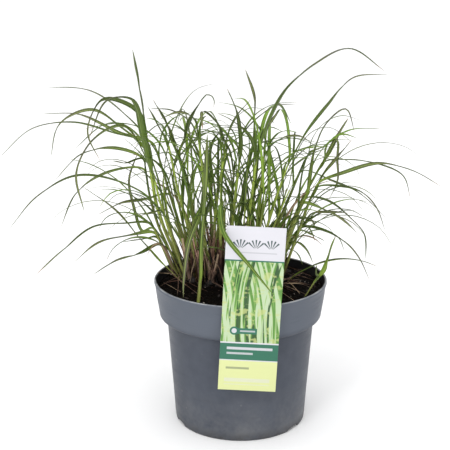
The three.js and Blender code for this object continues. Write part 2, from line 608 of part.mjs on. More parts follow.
ROOTSTOCKS.forEach(({ stubs, straws }, number) => {
  for (let index = 0; index < stubs; index += 1) {
    grow(dryParts[number], (attempt) => stub(number, index, attempt));
  }
  straws.forEach((heading) => grow(dryParts[number], (attempt) => straw(number, heading, attempt)));
});
OUTER_LEAVES.forEach(([shootNumber], leafNumber) => {
  grow(shootParts[shootNumber - 1], (attempt) => outerLeaf(leafNumber, attempt));
});
SHOOTS.forEach((shoot, shootNumber) => {
  for (let leaf = 0; leaf < shoot.inner; leaf += 1) {
    grow(shootParts[shootNumber], (attempt) => innerLeaf(shootNumber, leaf, attempt));
  }
});

const numbered = (name, index) => `${name}_${String(index + 1).padStart(2, '0')}`;

const plant = new THREE.Group();
plant.add(meshOf('pot', potSolid, POT_FINISH));
plant.add(meshOf('compost', soilSolid, SOIL_FINISH));
plant.add(meshOf('label', labelSolid, CARD_FINISH));
shootParts.forEach((parts, index) => {
  plant.add(meshOf(numbered('shoot', index), join(parts), LEAF_FINISHES[index % LEAF_FINISHES.length]));
});
dryParts.forEach((parts, index) => {
  plant.add(meshOf(numbered('dry_culms', index), join(parts), DRY_FINISH));
});

export default plant;
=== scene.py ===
# %% [markdown]
# # A dwarf porcupine grass in its nursery pot
#
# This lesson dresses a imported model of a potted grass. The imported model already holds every
# piece at its real size and place, with few faces: the pot, the compost, a plant label that
# hooks over the rim, thirty leafy shoots and eight pieces of last year's growth. Each step
# below makes one finer piece that takes a plain one's place, and gives it a material.
# Lengths are written in millimetres, and MM turns them into Blender's metres.

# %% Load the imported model
import math

import bpy
import numpy as np
from mathutils import Euler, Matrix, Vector


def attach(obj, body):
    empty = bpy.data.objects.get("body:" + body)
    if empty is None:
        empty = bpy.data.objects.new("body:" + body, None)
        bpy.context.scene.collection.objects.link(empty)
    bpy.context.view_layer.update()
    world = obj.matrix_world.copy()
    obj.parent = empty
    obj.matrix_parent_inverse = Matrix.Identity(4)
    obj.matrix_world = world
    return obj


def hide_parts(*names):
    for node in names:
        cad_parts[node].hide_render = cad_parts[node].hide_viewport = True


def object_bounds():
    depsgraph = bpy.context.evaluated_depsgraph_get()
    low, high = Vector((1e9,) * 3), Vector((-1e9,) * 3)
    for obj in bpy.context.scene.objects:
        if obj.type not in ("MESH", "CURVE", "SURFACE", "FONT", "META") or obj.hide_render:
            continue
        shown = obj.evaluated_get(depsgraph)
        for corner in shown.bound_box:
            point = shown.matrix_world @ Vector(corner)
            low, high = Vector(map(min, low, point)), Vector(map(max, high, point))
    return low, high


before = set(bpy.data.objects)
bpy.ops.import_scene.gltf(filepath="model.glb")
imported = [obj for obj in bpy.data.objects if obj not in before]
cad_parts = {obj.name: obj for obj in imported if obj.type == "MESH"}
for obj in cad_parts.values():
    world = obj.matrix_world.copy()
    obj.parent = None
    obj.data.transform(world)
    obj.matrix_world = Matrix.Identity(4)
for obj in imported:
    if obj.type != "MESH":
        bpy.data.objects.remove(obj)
cad_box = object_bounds()
bpy.ops.object.select_all(action="DESELECT")

MM = 0.001
print(len(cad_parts), "packed pieces")
print("Packed box in mm:", [[round(x / MM) for x in corner] for corner in cad_box])

# %% [markdown]
# ## The camera
#
# The photographer stood a good metre away and looked down on the pot a little. The label's
# height, the ellipse of the rim and the pot's height in the picture give the place, the tilt
# and the lens. A longer lens from further away would flatten the ellipse of the rim.

# %% Set up the camera
CAMERA_PLACE = (-17, -1131, 540)
CAMERA_DOWN = 15.7    # degrees below level
CAMERA_LENS = 86.4    # focal length on a sensor 36 mm wide

bpy.ops.object.camera_add(
    location=[MM * x for x in CAMERA_PLACE],
    rotation=(math.radians(90 - CAMERA_DOWN), 0, 0),
)
bpy.context.object.data.lens = CAMERA_LENS
bpy.context.object.data.clip_end = 100
bpy.context.scene.camera = bpy.context.object
print("The camera looks down by", CAMERA_DOWN, "degrees")

# %% [markdown]
# ## The studio
#
# The plant stands in a white studio. A soft key lamp stands at the front left, a weaker one
# fills from the right, and a third lights the blades from behind, so that they don't sink into
# each other. The floor is almost white and far larger than the view, so that it has no edge.

# %% Set up the floor and the lamps
FLOOR_SIZE = 40000
LAMPS = {  # place, size and power in watts of each lamp, all aimed at the clump
    "key": ((-700, -1500, 1600), 350, 10),
    "fill": ((1500, -1000, 900), 1200, 0.5),
    "behind": ((300, 1500, 1300), 1400, 3),
}
LAMP_AIM = (-20, 0, 180)


def in_metres(place):
    return Vector([MM * x for x in place])


def add_lamp(name, place, size, watts):
    bpy.ops.object.light_add(type="AREA", location=in_metres(place))
    lamp = bpy.context.object
    lamp.name = name
    lamp.data.energy = watts
    lamp.data.size = MM * size
    aim = in_metres(LAMP_AIM) - lamp.location
    lamp.rotation_euler = aim.to_track_quat("-Z", "Y").to_euler()


for name, (place, size, watts) in LAMPS.items():
    add_lamp(name, place, size, watts)

bpy.context.scene.view_settings.view_transform = "Standard"

bpy.ops.mesh.primitive_plane_add(size=MM * FLOOR_SIZE)
floor = bpy.context.object
floor.name = "floor"
print(len(LAMPS), "lamps and a floor of", FLOOR_SIZE // 1000, "m")

# %% [markdown]
# ## Helpers for materials
#
# A material in Blender is a small graph of nodes. Written out in full, each node takes four or
# five lines, so three helpers shorten that: one adds any node and fills or links its inputs,
# one mixes two colours, and one turns a value into another range.

# %% Node helpers
def add_node(tree, kind, inputs=None, **options):
    """Adds one shader node, sets its options, and fills or links its inputs."""
    node = tree.nodes.new("ShaderNode" + kind)
    for name, value in options.items():
        setattr(node, name, value)
    for name, value in (inputs or {}).items():
        if isinstance(value, bpy.types.NodeSocket):
            tree.links.new(value, node.inputs[name])
        else:
            node.inputs[name].default_value = value
    return node


def mix(tree, share, first, second):
    """A colour between two colours."""
    first, second = (c if isinstance(c, bpy.types.NodeSocket) else (*c, 1) for c in (first, second))
    colour_inputs = {0: share, 6: first, 7: second}    # a Mix node's sockets share their names
    return add_node(tree, "Mix", colour_inputs, data_type="RGBA").outputs[2]


def span(tree, value, low, high, to_low=0.0, to_high=1.0):
    """The value's range from low to high, spread over another range and cut off outside it."""
    given = {"Value": value, "From Min": low, "From Max": high, "To Min": to_low, "To Max": to_high}
    return add_node(tree, "MapRange", given).outputs[0]


def calculate(tree, operation, first, second=0.0):
    return add_node(tree, "Math", {0: first, 1: second}, operation=operation).outputs[0]


def new_material(name):
    """A material with its tree and its Principled shader."""
    material = bpy.data.materials.new(name)
    material.use_nodes = True
    tree = material.node_tree
    return material, tree, tree.nodes["Principled BSDF"]


def bump(tree, height, strength, distance):
    """A normal from a height; strength is its share and distance its depth in millimetres."""
    given = {"Height": height, "Strength": strength, "Distance": MM * distance}
    return add_node(tree, "Bump", given).outputs["Normal"]

# %% [markdown]
# ## The sky
#
# In a white studio the ceiling is brighter than the walls. The sky is therefore brightest
# overhead and weaker towards the horizon, and a large white screen lights the plant from the
# front. The floor lights the foot of the walls, which are bright again there, so that no grey
# band shows behind the floor. The pot still darkens at both sides, where it turns away.

# %% Light the sky
SKY_HORIZON = 0.15
SKY_ZENITH = 1.34
FRONT_SCREEN = 1.0    # the large white screen behind the camera
WALL_FOOT = 0.85      # the foot of the walls, lit by the floor


def make_sky():
    world = bpy.data.worlds.new("white_room")
    world.use_nodes = True
    tree = world.node_tree
    direction = add_node(tree, "TexCoord").outputs["Generated"]
    _, depth, height = add_node(tree, "SeparateXYZ", {0: direction}).outputs
    ceiling = span(tree, height, 0, 1, SKY_HORIZON, SKY_ZENITH)
    wall = span(tree, height, 0.18, 0.09, 0, WALL_FOOT)
    ceiling = calculate(tree, "ADD", ceiling, wall)
    screen = span(tree, depth, 0, -1, 0, FRONT_SCREEN)
    background = tree.nodes["Background"]
    background.inputs["Color"].default_value = (1, 1, 1, 1)
    tree.links.new(calculate(tree, "ADD", ceiling, screen), background.inputs["Strength"])
    return world


bpy.context.scene.world = make_sky()
print("The sky is", round(SKY_ZENITH / SKY_HORIZON, 1), "times as bright overhead")

# %% [markdown]
# ## Three effects that several materials share
#
# Real surfaces are never one flat colour. *Mottle* is a soft change of shade in large and small
# patches. *Streaks* are lines that run along something that grew in one direction. *Specks* are
# small scattered spots, such as dust and splashes of compost. Each is a node group with inputs
# of its own, built once, so that every material uses it at its own size and strength.

# %% Build the shared node groups
VECTOR, FLOAT = "NodeSocketVector", "NodeSocketFloat"


def new_group(name, inputs, output):
    """A node group with these inputs, given as {name: (kind, value)}, and one output value."""
    tree = bpy.data.node_groups.new(name, "ShaderNodeTree")
    for label, (kind, value) in inputs.items():
        socket = tree.interface.new_socket(label, in_out="INPUT", socket_type=kind)
        if kind == FLOAT:
            socket.default_value = value
    tree.interface.new_socket(output, in_out="OUTPUT", socket_type=FLOAT)
    given = tree.nodes.new("NodeGroupInput").outputs
    return tree, given, tree.nodes.new("NodeGroupOutput").inputs[output]


def scaled(tree, vector, factor):
    node = add_node(tree, "VectorMath", {0: vector}, operation="SCALE")
    if isinstance(factor, bpy.types.NodeSocket):
        tree.links.new(factor, node.inputs["Scale"])
    else:
        node.inputs["Scale"].default_value = factor
    return node.outputs[0]


def make_mottle():
    inputs = {"Place": (VECTOR, None), "Scale": (FLOAT, 60.0), "Fineness": (FLOAT, 5.0)}
    tree, given, result = new_group("mottle", inputs, "Shade")
    wide = {"Vector": given["Place"], "Scale": given["Scale"], "Detail": 3.0, "Roughness": 0.55}
    patches = add_node(tree, "TexNoise", wide).outputs[0]
    closer = scaled(tree, given["Place"], given["Fineness"])
    fine = add_node(tree, "TexNoise", {**wide, "Vector": closer}).outputs[0]
    both = calculate(tree, "ADD", calculate(tree, "MULTIPLY", patches, 0.65),
                     calculate(tree, "MULTIPLY", fine, 0.35))
    tree.links.new(span(tree, both, 0.32, 0.68), result)
    return tree


def make_streaks():
    inputs = {"Grain": (VECTOR, None), "Lines": (FLOAT, 12.0), "Length": (FLOAT, 1.5)}
    tree, given, result = new_group("streaks", inputs, "Shade")
    parts = add_node(tree, "SeparateXYZ", {0: given["Grain"]}).outputs
    across = calculate(tree, "MULTIPLY", parts[0], given["Lines"])
    around = calculate(tree, "MULTIPLY", parts[1], given["Lines"])
    along = calculate(tree, "MULTIPLY", parts[2], given["Length"])
    stretched = add_node(tree, "CombineXYZ", {0: across, 1: around, 2: along}).outputs[0]
    lines = {"Vector": stretched, "Scale": 1.0, "Detail": 2.0, "Roughness": 0.6}
    tree.links.new(span(tree, add_node(tree, "TexNoise", lines).outputs[0], 0.34, 0.66), result)
    return tree


def make_specks():
    inputs = {"Place": (VECTOR, None), "Scale": (FLOAT, 400.0), "Amount": (FLOAT, 0.2)}
    tree, given, result = new_group("specks", inputs, "Mask")
    cells = {"Vector": given["Place"], "Scale": given["Scale"], "Randomness": 1.0}
    spots = add_node(tree, "TexVoronoi", cells)
    tone = add_node(tree, "SeparateColor", {0: spots.outputs["Color"]}).outputs[0]
    chosen = calculate(tree, "LESS_THAN", tone, given["Amount"])
    dot = span(tree, spots.outputs["Distance"], 0.18, 0.32, 1.0, 0.0)
    tree.links.new(calculate(tree, "MULTIPLY", chosen, dot), result)
    return tree


EFFECTS = {"mottle": make_mottle(), "streaks": make_streaks(), "specks": make_specks()}


def effect(tree, name, **inputs):
    """Places one of the shared effects in a material and gives back its value."""
    node = tree.nodes.new("ShaderNodeGroup")
    node.node_tree = EFFECTS[name]
    for label, value in inputs.items():
        if isinstance(value, bpy.types.NodeSocket):
            tree.links.new(value, node.inputs[label])
        else:
            node.inputs[label].default_value = value
    return node.outputs[0]


def object_place(tree):
    """Where a point is on the object, in metres."""
    return add_node(tree, "TexCoord").outputs["Object"]


print("Shared effects:", ", ".join(EFFECTS))

# %% [markdown]
# ## The floor's paint
#
# A studio floor is matt white paper or paint. A trace of mottle keeps it from looking like a
# cut-out, and is too faint to draw the eye.

# %% Paint the floor
def make_floor_paint():
    material, tree, shader = new_material("white_paper")
    shade = effect(tree, "mottle", Place=object_place(tree), Scale=2.0)
    colour = mix(tree, shade, (0.93, 0.93, 0.935), (0.95, 0.95, 0.95))
    tree.links.new(colour, shader.inputs["Base Color"])
    shader.inputs["Roughness"].default_value = 0.9
    return material


floor.data.materials.append(make_floor_paint())

# %% [markdown]
# ## The pot's plastic
#
# Nursery pots are moulded from recycled polypropylene: a dull blue-grey with a slightly uneven
# gloss. The mould leaves a fine grain, and handling leaves faint level scuffs. The collar is painted
# lighter as a painted reflection, and the edge of the lip carries a painted highlight. Dust and wet
# soil mark the foot, and the inside of the rim is painted near-black: painted shade, partly a smear
# of compost. The grain goes into the bump, because it is far too small to model. The marks follow
# the height on the pot, and the painted shade inside is found by how far a point lies inside the
# outer wall.

# %% Make the pot's plastic
POT_HEIGHT = 162
RIM_RADIUS = 95
COLLAR_FOOT = (89.5, 124)    # radius and height where the collar starts
POT_DARK = (0.058, 0.065, 0.082)
POT_LIGHT = (0.081, 0.090, 0.110)
POT_COLLAR_SHEEN = (0.110, 0.124, 0.150)    # painted reflection: the collar is painted a little lighter
POT_LIP_HIGHLIGHT = (0.30, 0.31, 0.32)       # painted highlight along the edge of the lip
POT_DUST = (0.30, 0.29, 0.27)
POT_GRIME = (0.035, 0.032, 0.028)     # where the foot stands in wet soil
PEAT_SHADE = (0.006, 0.004, 0.003)    # painted shade inside the rim and near the compost, partly a compost smear


def make_pot_plastic():
    material, tree, shader = new_material("nursery_pot_plastic")
    place = object_place(tree)
    height = add_node(tree, "SeparateXYZ", {0: place}).outputs[2]
    shade = effect(tree, "mottle", Place=place, Scale=14.0, Fineness=6.0)
    colour = mix(tree, shade, POT_DARK, POT_LIGHT)
    collar_radius, collar_height = COLLAR_FOOT
    # painted reflection: the collar is painted lighter, as if it caught the bright room
    collar = span(tree, height, MM * (collar_height - 4), MM * (collar_height + 3), 0.0, 0.8)
    colour = mix(tree, collar, colour, POT_COLLAR_SHEEN)
    level = add_node(tree, "Mapping", {"Vector": place, "Scale": (14, 14, 120)}).outputs[0]
    scuffs = effect(tree, "mottle", Place=level, Scale=1.0, Fineness=3.0)
    scuffed = calculate(tree, "MULTIPLY", span(tree, scuffs, 0.7, 1.0), 0.2)
    colour = mix(tree, scuffed, colour, (0.045, 0.048, 0.055))
    # painted shade: the inside of the rim above the compost is made near-black, partly a compost smear
    across = add_node(tree, "VectorMath", {0: place, 1: (1, 1, 0)}, operation="MULTIPLY").outputs[0]
    across = add_node(tree, "VectorMath", {0: across}, operation="LENGTH").outputs["Value"]
    wall = span(tree, height, MM * collar_height, MM * POT_HEIGHT, MM * collar_radius, MM * RIM_RADIUS)
    inner = span(tree, calculate(tree, "SUBTRACT", wall, across), MM * 0.9, MM * 1.6)
    shaded_inside = span(tree, height, MM * (collar_height + 2), MM * (collar_height + 6), 0.0, 0.9)
    colour = mix(tree, calculate(tree, "MULTIPLY", inner, shaded_inside), colour, PEAT_SHADE)
    # painted highlight: a pale line along the top edge of the lip
    edge = span(tree, height, MM * (POT_HEIGHT - 1), MM * (POT_HEIGHT - 0.6), 0.0, 1.3)
    lip_highlight = calculate(tree, "MULTIPLY", edge, effect(tree, "mottle", Place=place, Scale=70.0))
    colour = mix(tree, lip_highlight, colour, POT_LIP_HIGHLIGHT)
    dusty = calculate(tree, "MULTIPLY", span(tree, height, 0.06, 0.01, 0.0, 0.22),
                      effect(tree, "mottle", Place=place, Scale=45.0))
    colour = mix(tree, dusty, colour, POT_DUST)
    grimy = calculate(tree, "MULTIPLY", span(tree, height, 0.012, 0.003, 0.0, 0.7),
                      effect(tree, "mottle", Place=place, Scale=90.0))
    colour = mix(tree, grimy, colour, POT_GRIME)
    spots = calculate(tree, "MULTIPLY", effect(tree, "specks", Place=place, Scale=170.0, Amount=0.03), 0.15)
    colour = mix(tree, spots, colour, POT_DUST)
    tree.links.new(colour, shader.inputs["Base Color"])
    tree.links.new(span(tree, scuffs, 0.0, 1.0, 0.34, 0.46), shader.inputs["Roughness"])
    shader.inputs["Specular IOR Level"].default_value = 0.08
    grain = effect(tree, "mottle", Place=place, Scale=900.0, Fineness=2.0)
    tree.links.new(bump(tree, grain, 0.25, 0.15), shader.inputs["Normal"])
    return material


pot_plastic = make_pot_plastic()

# %% [markdown]
# ## The pot
#
# The real pot is one moulding: a tapering body, a rounded shoulder, and a broad collar that
# flares to the rim. It could be turned from a profile with Spin. Here it is pulled up from a
# disc instead, one ring at a time, by extruding the top face and scaling it, which is how most
# people model a pot by hand: up the outside, over the lip, and down the inside to the floor.

# %% Pull the pot up from a disc
BODY_TOP = (81, 117)
FOOT_RADIUS = 73
WALL = 2
FLOOR = 2.5
POT_SIDES = 160


def pot_outside():
    """The outer line as (radius, height), from the foot up to the lip."""
    body, collar = BODY_TOP, COLLAR_FOOT
    foot = [(FOOT_RADIUS + out, up)
            for out, up in ((-1.2, 0.35), (-0.5, 1.2), (-0.2, 3), (0, 6.6), (0.25, 7.2))]
    side = [(FOOT_RADIUS + (body[0] - FOOT_RADIUS) * share, 7.2 + (body[1] - 8) * share)
            for share in (0.25, 0.5, 0.75, 0.99)]
    shoulder = [(body[0] + 0.7, body[1] + 1.2), (body[0] + 2.3, body[1] + 2.3)]
    shoulder += [(collar[0] + out, collar[1] + up)
                 for out, up in ((-2.6, -3.4), (-1.0, -2.2), (-0.2, -0.9), (0, 0.8))]
    lip = [(RIM_RADIUS + out, POT_HEIGHT + up) for out, up in (
        (-2.7, -19), (-0.9, -4.2), (-0.25, -3.3), (0, -2.3), (-0.1, -0.9), (-0.7, -0.1), (-1.4, 0))]
    return foot + side + shoulder + lip


def inside_wall(offset=0.0):
    """The inner line as (radius, height), from the floor upwards, or a line clear of it."""
    return [
        (FOOT_RADIUS - WALL - offset + 0.3, FLOOR + offset),
        (BODY_TOP[0] - WALL - offset, BODY_TOP[1] + 1),
        (BODY_TOP[0] - WALL - offset + 5, COLLAR_FOOT[1] - 3.2),
        (COLLAR_FOOT[0] - WALL - offset, COLLAR_FOOT[1] + 1),
        (RIM_RADIUS - WALL - offset - 0.4, POT_HEIGHT - 2),
    ]


def start_disc(radius, sides):
    """A flat disc on the floor, in edit mode, with its only face selected."""
    bpy.ops.mesh.primitive_circle_add(vertices=sides, radius=MM * radius, fill_type="NGON")
    bpy.ops.object.mode_set(mode="EDIT")
    bpy.ops.mesh.select_mode(type="FACE")


def pull_rings(rings, radius, height):
    """Extrudes the selected face through rings of (radius, height), from where it is now."""
    for next_radius, next_height in rings:
        rise = {"value": (0, 0, MM * (next_height - height))}
        bpy.ops.mesh.extrude_region_move(TRANSFORM_OT_translate=rise)
        factor = next_radius / radius
        bpy.ops.transform.resize(value=(factor, factor, 1), center_override=(0, 0, MM * next_height))
        radius, height = next_radius, next_height


def close_edit(name):
    """Leaves edit mode with the faces pointing outwards, and names the object."""
    bpy.ops.mesh.select_all(action="SELECT")
    bpy.ops.mesh.remove_doubles(threshold=0.01 * MM)
    bpy.ops.mesh.normals_make_consistent(inside=False)
    bpy.ops.object.mode_set(mode="OBJECT")
    bpy.context.object.name = name
    return bpy.context.object


start_disc(FOOT_RADIUS - 2, POT_SIDES)
pull_rings(pot_outside(), FOOT_RADIUS - 2, 0)
lip_end = pot_outside()[-1]
inner = [(RIM_RADIUS - WALL - 0.1, POT_HEIGHT - 0.3), *reversed(inside_wall())]
pull_rings(inner, *lip_end)
pot = close_edit("pot_shell")
print("The pot has", len(pot.data.polygons), "faces")

# %% [markdown]
# ## Notches and drain holes
#
# Water has to run out, so the foot has three shallow notches and the floor has a ring of holes.
# They are cut like on a bench: a cutter is placed, a Boolean modifier takes it away from the
# pot, and the cutter is thrown away.

# %% Cut the notches and holes
NOTCHES = {"count": 3, "first": 204, "across": 24, "into": 16, "height": 9.2}
DRAINS = {"count": 6, "radius": 5, "ring": 46}
DRAIN_CUTTER = 20    # length of the cutter, which passes right through the floor


def use_modifier(piece, kind, **options):
    """Adds a modifier, sets it and applies it, as one would before going on."""
    modifier = piece.modifiers.new(kind.lower(), kind)
    for name, value in options.items():
        setattr(modifier, name, value)
    bpy.context.view_layer.objects.active = piece
    bpy.ops.object.modifier_apply(modifier=modifier.name)


def cut_away(piece, cutter):
    use_modifier(piece, "BOOLEAN", operation="DIFFERENCE", object=cutter, solver="EXACT")
    bpy.data.objects.remove(cutter)


for notch in range(NOTCHES["count"]):
    turn = math.radians(NOTCHES["first"] + notch * 360 / NOTCHES["count"])
    place = in_metres(((FOOT_RADIUS - 1) * math.cos(turn), (FOOT_RADIUS - 1) * math.sin(turn), -0.2))
    bpy.ops.mesh.primitive_cube_add(size=MM, location=place, rotation=(0, 0, turn))
    bpy.context.object.scale = (NOTCHES["into"], NOTCHES["across"], NOTCHES["height"])
    use_modifier(bpy.context.object, "BEVEL", width=0.8 * MM, segments=2)
    cut_away(pot, bpy.context.object)
for drain in range(DRAINS["count"]):
    turn = math.radians(drain * 360 / DRAINS["count"])
    place = in_metres((DRAINS["ring"] * math.cos(turn), DRAINS["ring"] * math.sin(turn), 0))
    bpy.ops.mesh.primitive_cylinder_add(
        vertices=32, radius=MM * DRAINS["radius"], depth=DRAIN_CUTTER * MM, location=place)
    cut_away(pot, bpy.context.object)


def smooth_by_angle(piece, degrees=35):
    bpy.ops.object.select_all(action="DESELECT")
    piece.select_set(True)
    bpy.context.view_layer.objects.active = piece
    bpy.ops.object.shade_smooth_by_angle(angle=math.radians(degrees))
    piece.select_set(False)


def finish_piece(piece, slot, *nodes):
    """Puts a piece on the one body and hides the plain nodes that it stands for."""
    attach(piece, "root")
    if nodes:
        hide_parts(*nodes)


pot.data.materials.append(pot_plastic)
smooth_by_angle(pot)
finish_piece(pot, "pot_plastic", "pot")
print("After cutting it has", len(pot.data.polygons), "faces")

# %% [markdown]
# ## The compost's look
#
# Peat compost is almost black when damp. Its crumbs are matt, a few wet faces glint, and
# reddish bits of bark show between them. The colour therefore mixes two dark browns by mottle
# and adds specks, and the roughness drops in small patches where it is wet.

# %% Make the compost's material
def make_compost_material():
    material, tree, shader = new_material("damp_peat_compost")
    place = object_place(tree)
    shade = effect(tree, "mottle", Place=place, Scale=190.0, Fineness=4.0)
    colour = mix(tree, shade, (0.0008, 0.0006, 0.0005), (0.005, 0.003, 0.002))
    red = effect(tree, "specks", Place=place, Scale=320.0, Amount=0.16)
    colour = mix(tree, calculate(tree, "MULTIPLY", red, 0.7), colour, (0.040, 0.015, 0.009))
    tree.links.new(colour, shader.inputs["Base Color"])
    shader.inputs["Specular IOR Level"].default_value = 0.06
    wet = effect(tree, "mottle", Place=place, Scale=260.0, Fineness=3.0)
    tree.links.new(span(tree, wet, 0.55, 0.9, 0.9, 0.38), shader.inputs["Roughness"])
    crumbs = effect(tree, "mottle", Place=place, Scale=620.0, Fineness=3.5)
    tree.links.new(bump(tree, crumbs, 0.9, 1.0), shader.inputs["Normal"])
    return material


compost_material = make_compost_material()

# %% [markdown]
# ## The compost
#
# Filling a pot leaves a low dome of crumbs that meets the wall all round. A flat grid is given
# that dome, roughened by three Displace modifiers from lumps down to crumbs, and pulled down to
# a block. A second solid with the shape of the pot's inside then cuts the block to fit, which
# gives a clean edge at the wall and even crumbs everywhere.

# %% Fill the pot with compost
SOIL_GAP = 0.6
SOIL_EDGE = 152
SOIL_CROWN = 4
SOIL_BUMP = 0.8
SOIL_CELLS = 150
RELIEF = {  # kind of texture, its size and its depth
    "lumps": ("CLOUDS", 11, 3.4),
    "crumbs": ("CLOUDS", 4.2, 2.6),
    "grains": ("VORONOI", 3.6, -1.5),
}


def soil_level(x, y):
    """The compost's level: a low dome with a few waves."""
    out = np.minimum(1, np.hypot(x, y) / (RIM_RADIUS - WALL))
    waves = np.sin(x / 9 + 1) * np.cos(y / 7) + 0.5 * np.sin(x / 4 - y / 5)
    return SOIL_EDGE + SOIL_CROWN * (1 - out * out) + SOIL_BUMP * waves * (1 - out**6)


def read_points(mesh):
    """A mesh's vertices as rows of x, y and z, in millimetres."""
    flat = np.empty(3 * len(mesh.vertices))
    mesh.vertices.foreach_get("co", flat)
    return flat.reshape(-1, 3) / MM


def write_points(mesh, points):
    mesh.vertices.foreach_set("co", (np.asarray(points) * MM).ravel())
    mesh.update()


bpy.ops.mesh.primitive_grid_add(
    x_subdivisions=SOIL_CELLS, y_subdivisions=SOIL_CELLS, size=MM * 2 * RIM_RADIUS)
compost = bpy.context.object
compost.name = "potting_mix"
surface = read_points(compost.data)
surface[:, 2] = soil_level(surface[:, 0], surface[:, 1])
write_points(compost.data, surface)
for name, (kind, size, depth) in RELIEF.items():
    texture = bpy.data.textures.new(name, kind)
    texture.noise_scale = MM * size
    use_modifier(compost, "DISPLACE", texture=texture, strength=MM * depth, mid_level=0.5, direction="Z")
bpy.ops.object.mode_set(mode="EDIT")
bpy.ops.mesh.select_all(action="SELECT")
bpy.ops.mesh.region_to_loop()
bpy.ops.mesh.extrude_region_move(TRANSFORM_OT_translate={"value": (0, 0, -MM * POT_HEIGHT)})
bpy.ops.mesh.edge_face_add()
close_edit("potting_mix")

floor_radius, floor_height = inside_wall(SOIL_GAP)[0]
start_disc(floor_radius, POT_SIDES)
bpy.ops.transform.translate(value=(0, 0, MM * floor_height))
above_rim = (RIM_RADIUS - WALL - SOIL_GAP, POT_HEIGHT + 20)
pull_rings([*inside_wall(SOIL_GAP)[1:], above_rim], floor_radius, floor_height)
filling = close_edit("filling")
use_modifier(compost, "BOOLEAN", operation="INTERSECT", object=filling, solver="EXACT")
bpy.data.objects.remove(filling)
compost.data.materials.clear()
compost.data.materials.append(compost_material)
smooth_by_angle(compost, 60)
finish_piece(compost, "compost", "compost")
print("The compost has", len(compost.data.polygons), "faces")

# %% [markdown]
# ## Seeded draws and smooth lines
#
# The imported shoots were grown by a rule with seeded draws, and the finer ones have to stand in
# the same places. So the same generator of draws is written here, and the same smooth curve
# through a leaf's places. Each plain shoot's own points then tell which draw it was grown with.

# %% Draws and curves
WORD = 2**32 - 1
UP = np.array((0.0, 0.0, 1.0))


def draws(seed):
    """Seeded draws from a range, the same on every run."""
    state = seed & WORD

    def draw(low=0.0, high=1.0):
        nonlocal state
        state = (state + 0x6D2B79F5) & WORD
        mixed = (state ^ (state >> 15)) * (1 | state) & WORD
        mixed = (mixed + (mixed ^ (mixed >> 7)) * (61 | mixed)) & WORD ^ mixed
        return low + (high - low) * (mixed ^ (mixed >> 14)) / 2**32

    return draw


def unit(vector):
    return vector / max(np.linalg.norm(vector), 1e-9)


def curve_through(places, per_piece=24):
    """Close points along a smooth curve through the places."""
    places = np.asarray(places, float)
    ends = np.vstack([2 * places[0] - places[1], places, 2 * places[-1] - places[-2]])
    t = np.linspace(0, 1, per_piece, endpoint=False)[:, None]
    pieces = []
    for first, start, end, last in zip(ends, ends[1:], ends[2:], ends[3:]):
        before, here, after = (
            max(np.linalg.norm(b - a), 1e-6) ** 0.5 for a, b in ((first, start), (start, end), (end, last)))
        leave = (start - first) / before - (end - first) / (before + here) + (end - start) / here
        arrive = (end - start) / here - (last - start) / (here + after) + (last - end) / after
        square = 3 * (end - start) - here * (2 * leave + arrive)
        cube = 2 * (start - end) + here * (leave + arrive)
        pieces.append(start + here * leave * t + square * t**2 + cube * t**3)
    return np.vstack([*pieces, places[-1:]])


def measured(points):
    """How far along its line each point lies."""
    steps = np.linalg.norm(np.diff(points, axis=0), axis=1)
    return np.concatenate([[0], np.cumsum(steps)])


def along_line(points, shares):
    """Places at these shares of a line's length, and the line's direction there."""
    reach = measured(points)

    def at(share):
        far = np.clip(share, 0, 1) * reach[-1]
        return np.stack([np.interp(far, reach, points[:, axis]) for axis in range(3)], axis=-1)

    ahead, behind = at(shares + 0.01), at(shares - 0.01)
    directions = ahead - behind
    return at(shares), directions / np.linalg.norm(directions, axis=1)[:, None], reach[-1]


first_draws = draws(7)
print("First draws:", [round(first_draws(), 4) for _ in range(3)])

# %% [markdown]
# ## How the grass stands
#
# Each shoot is a straight stem of leaf sheaths with narrow leaves that leave it one above the
# other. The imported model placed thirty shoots, and the leaves that give the clump its outline
# were placed one by one. These are the same lists: for a shoot its place on the compost, its
# radius, the places that its stem passes and how many inner leaves it has, and for a leaf its
# shoot, how far up it starts, its width and the places it passes, with the tip last.

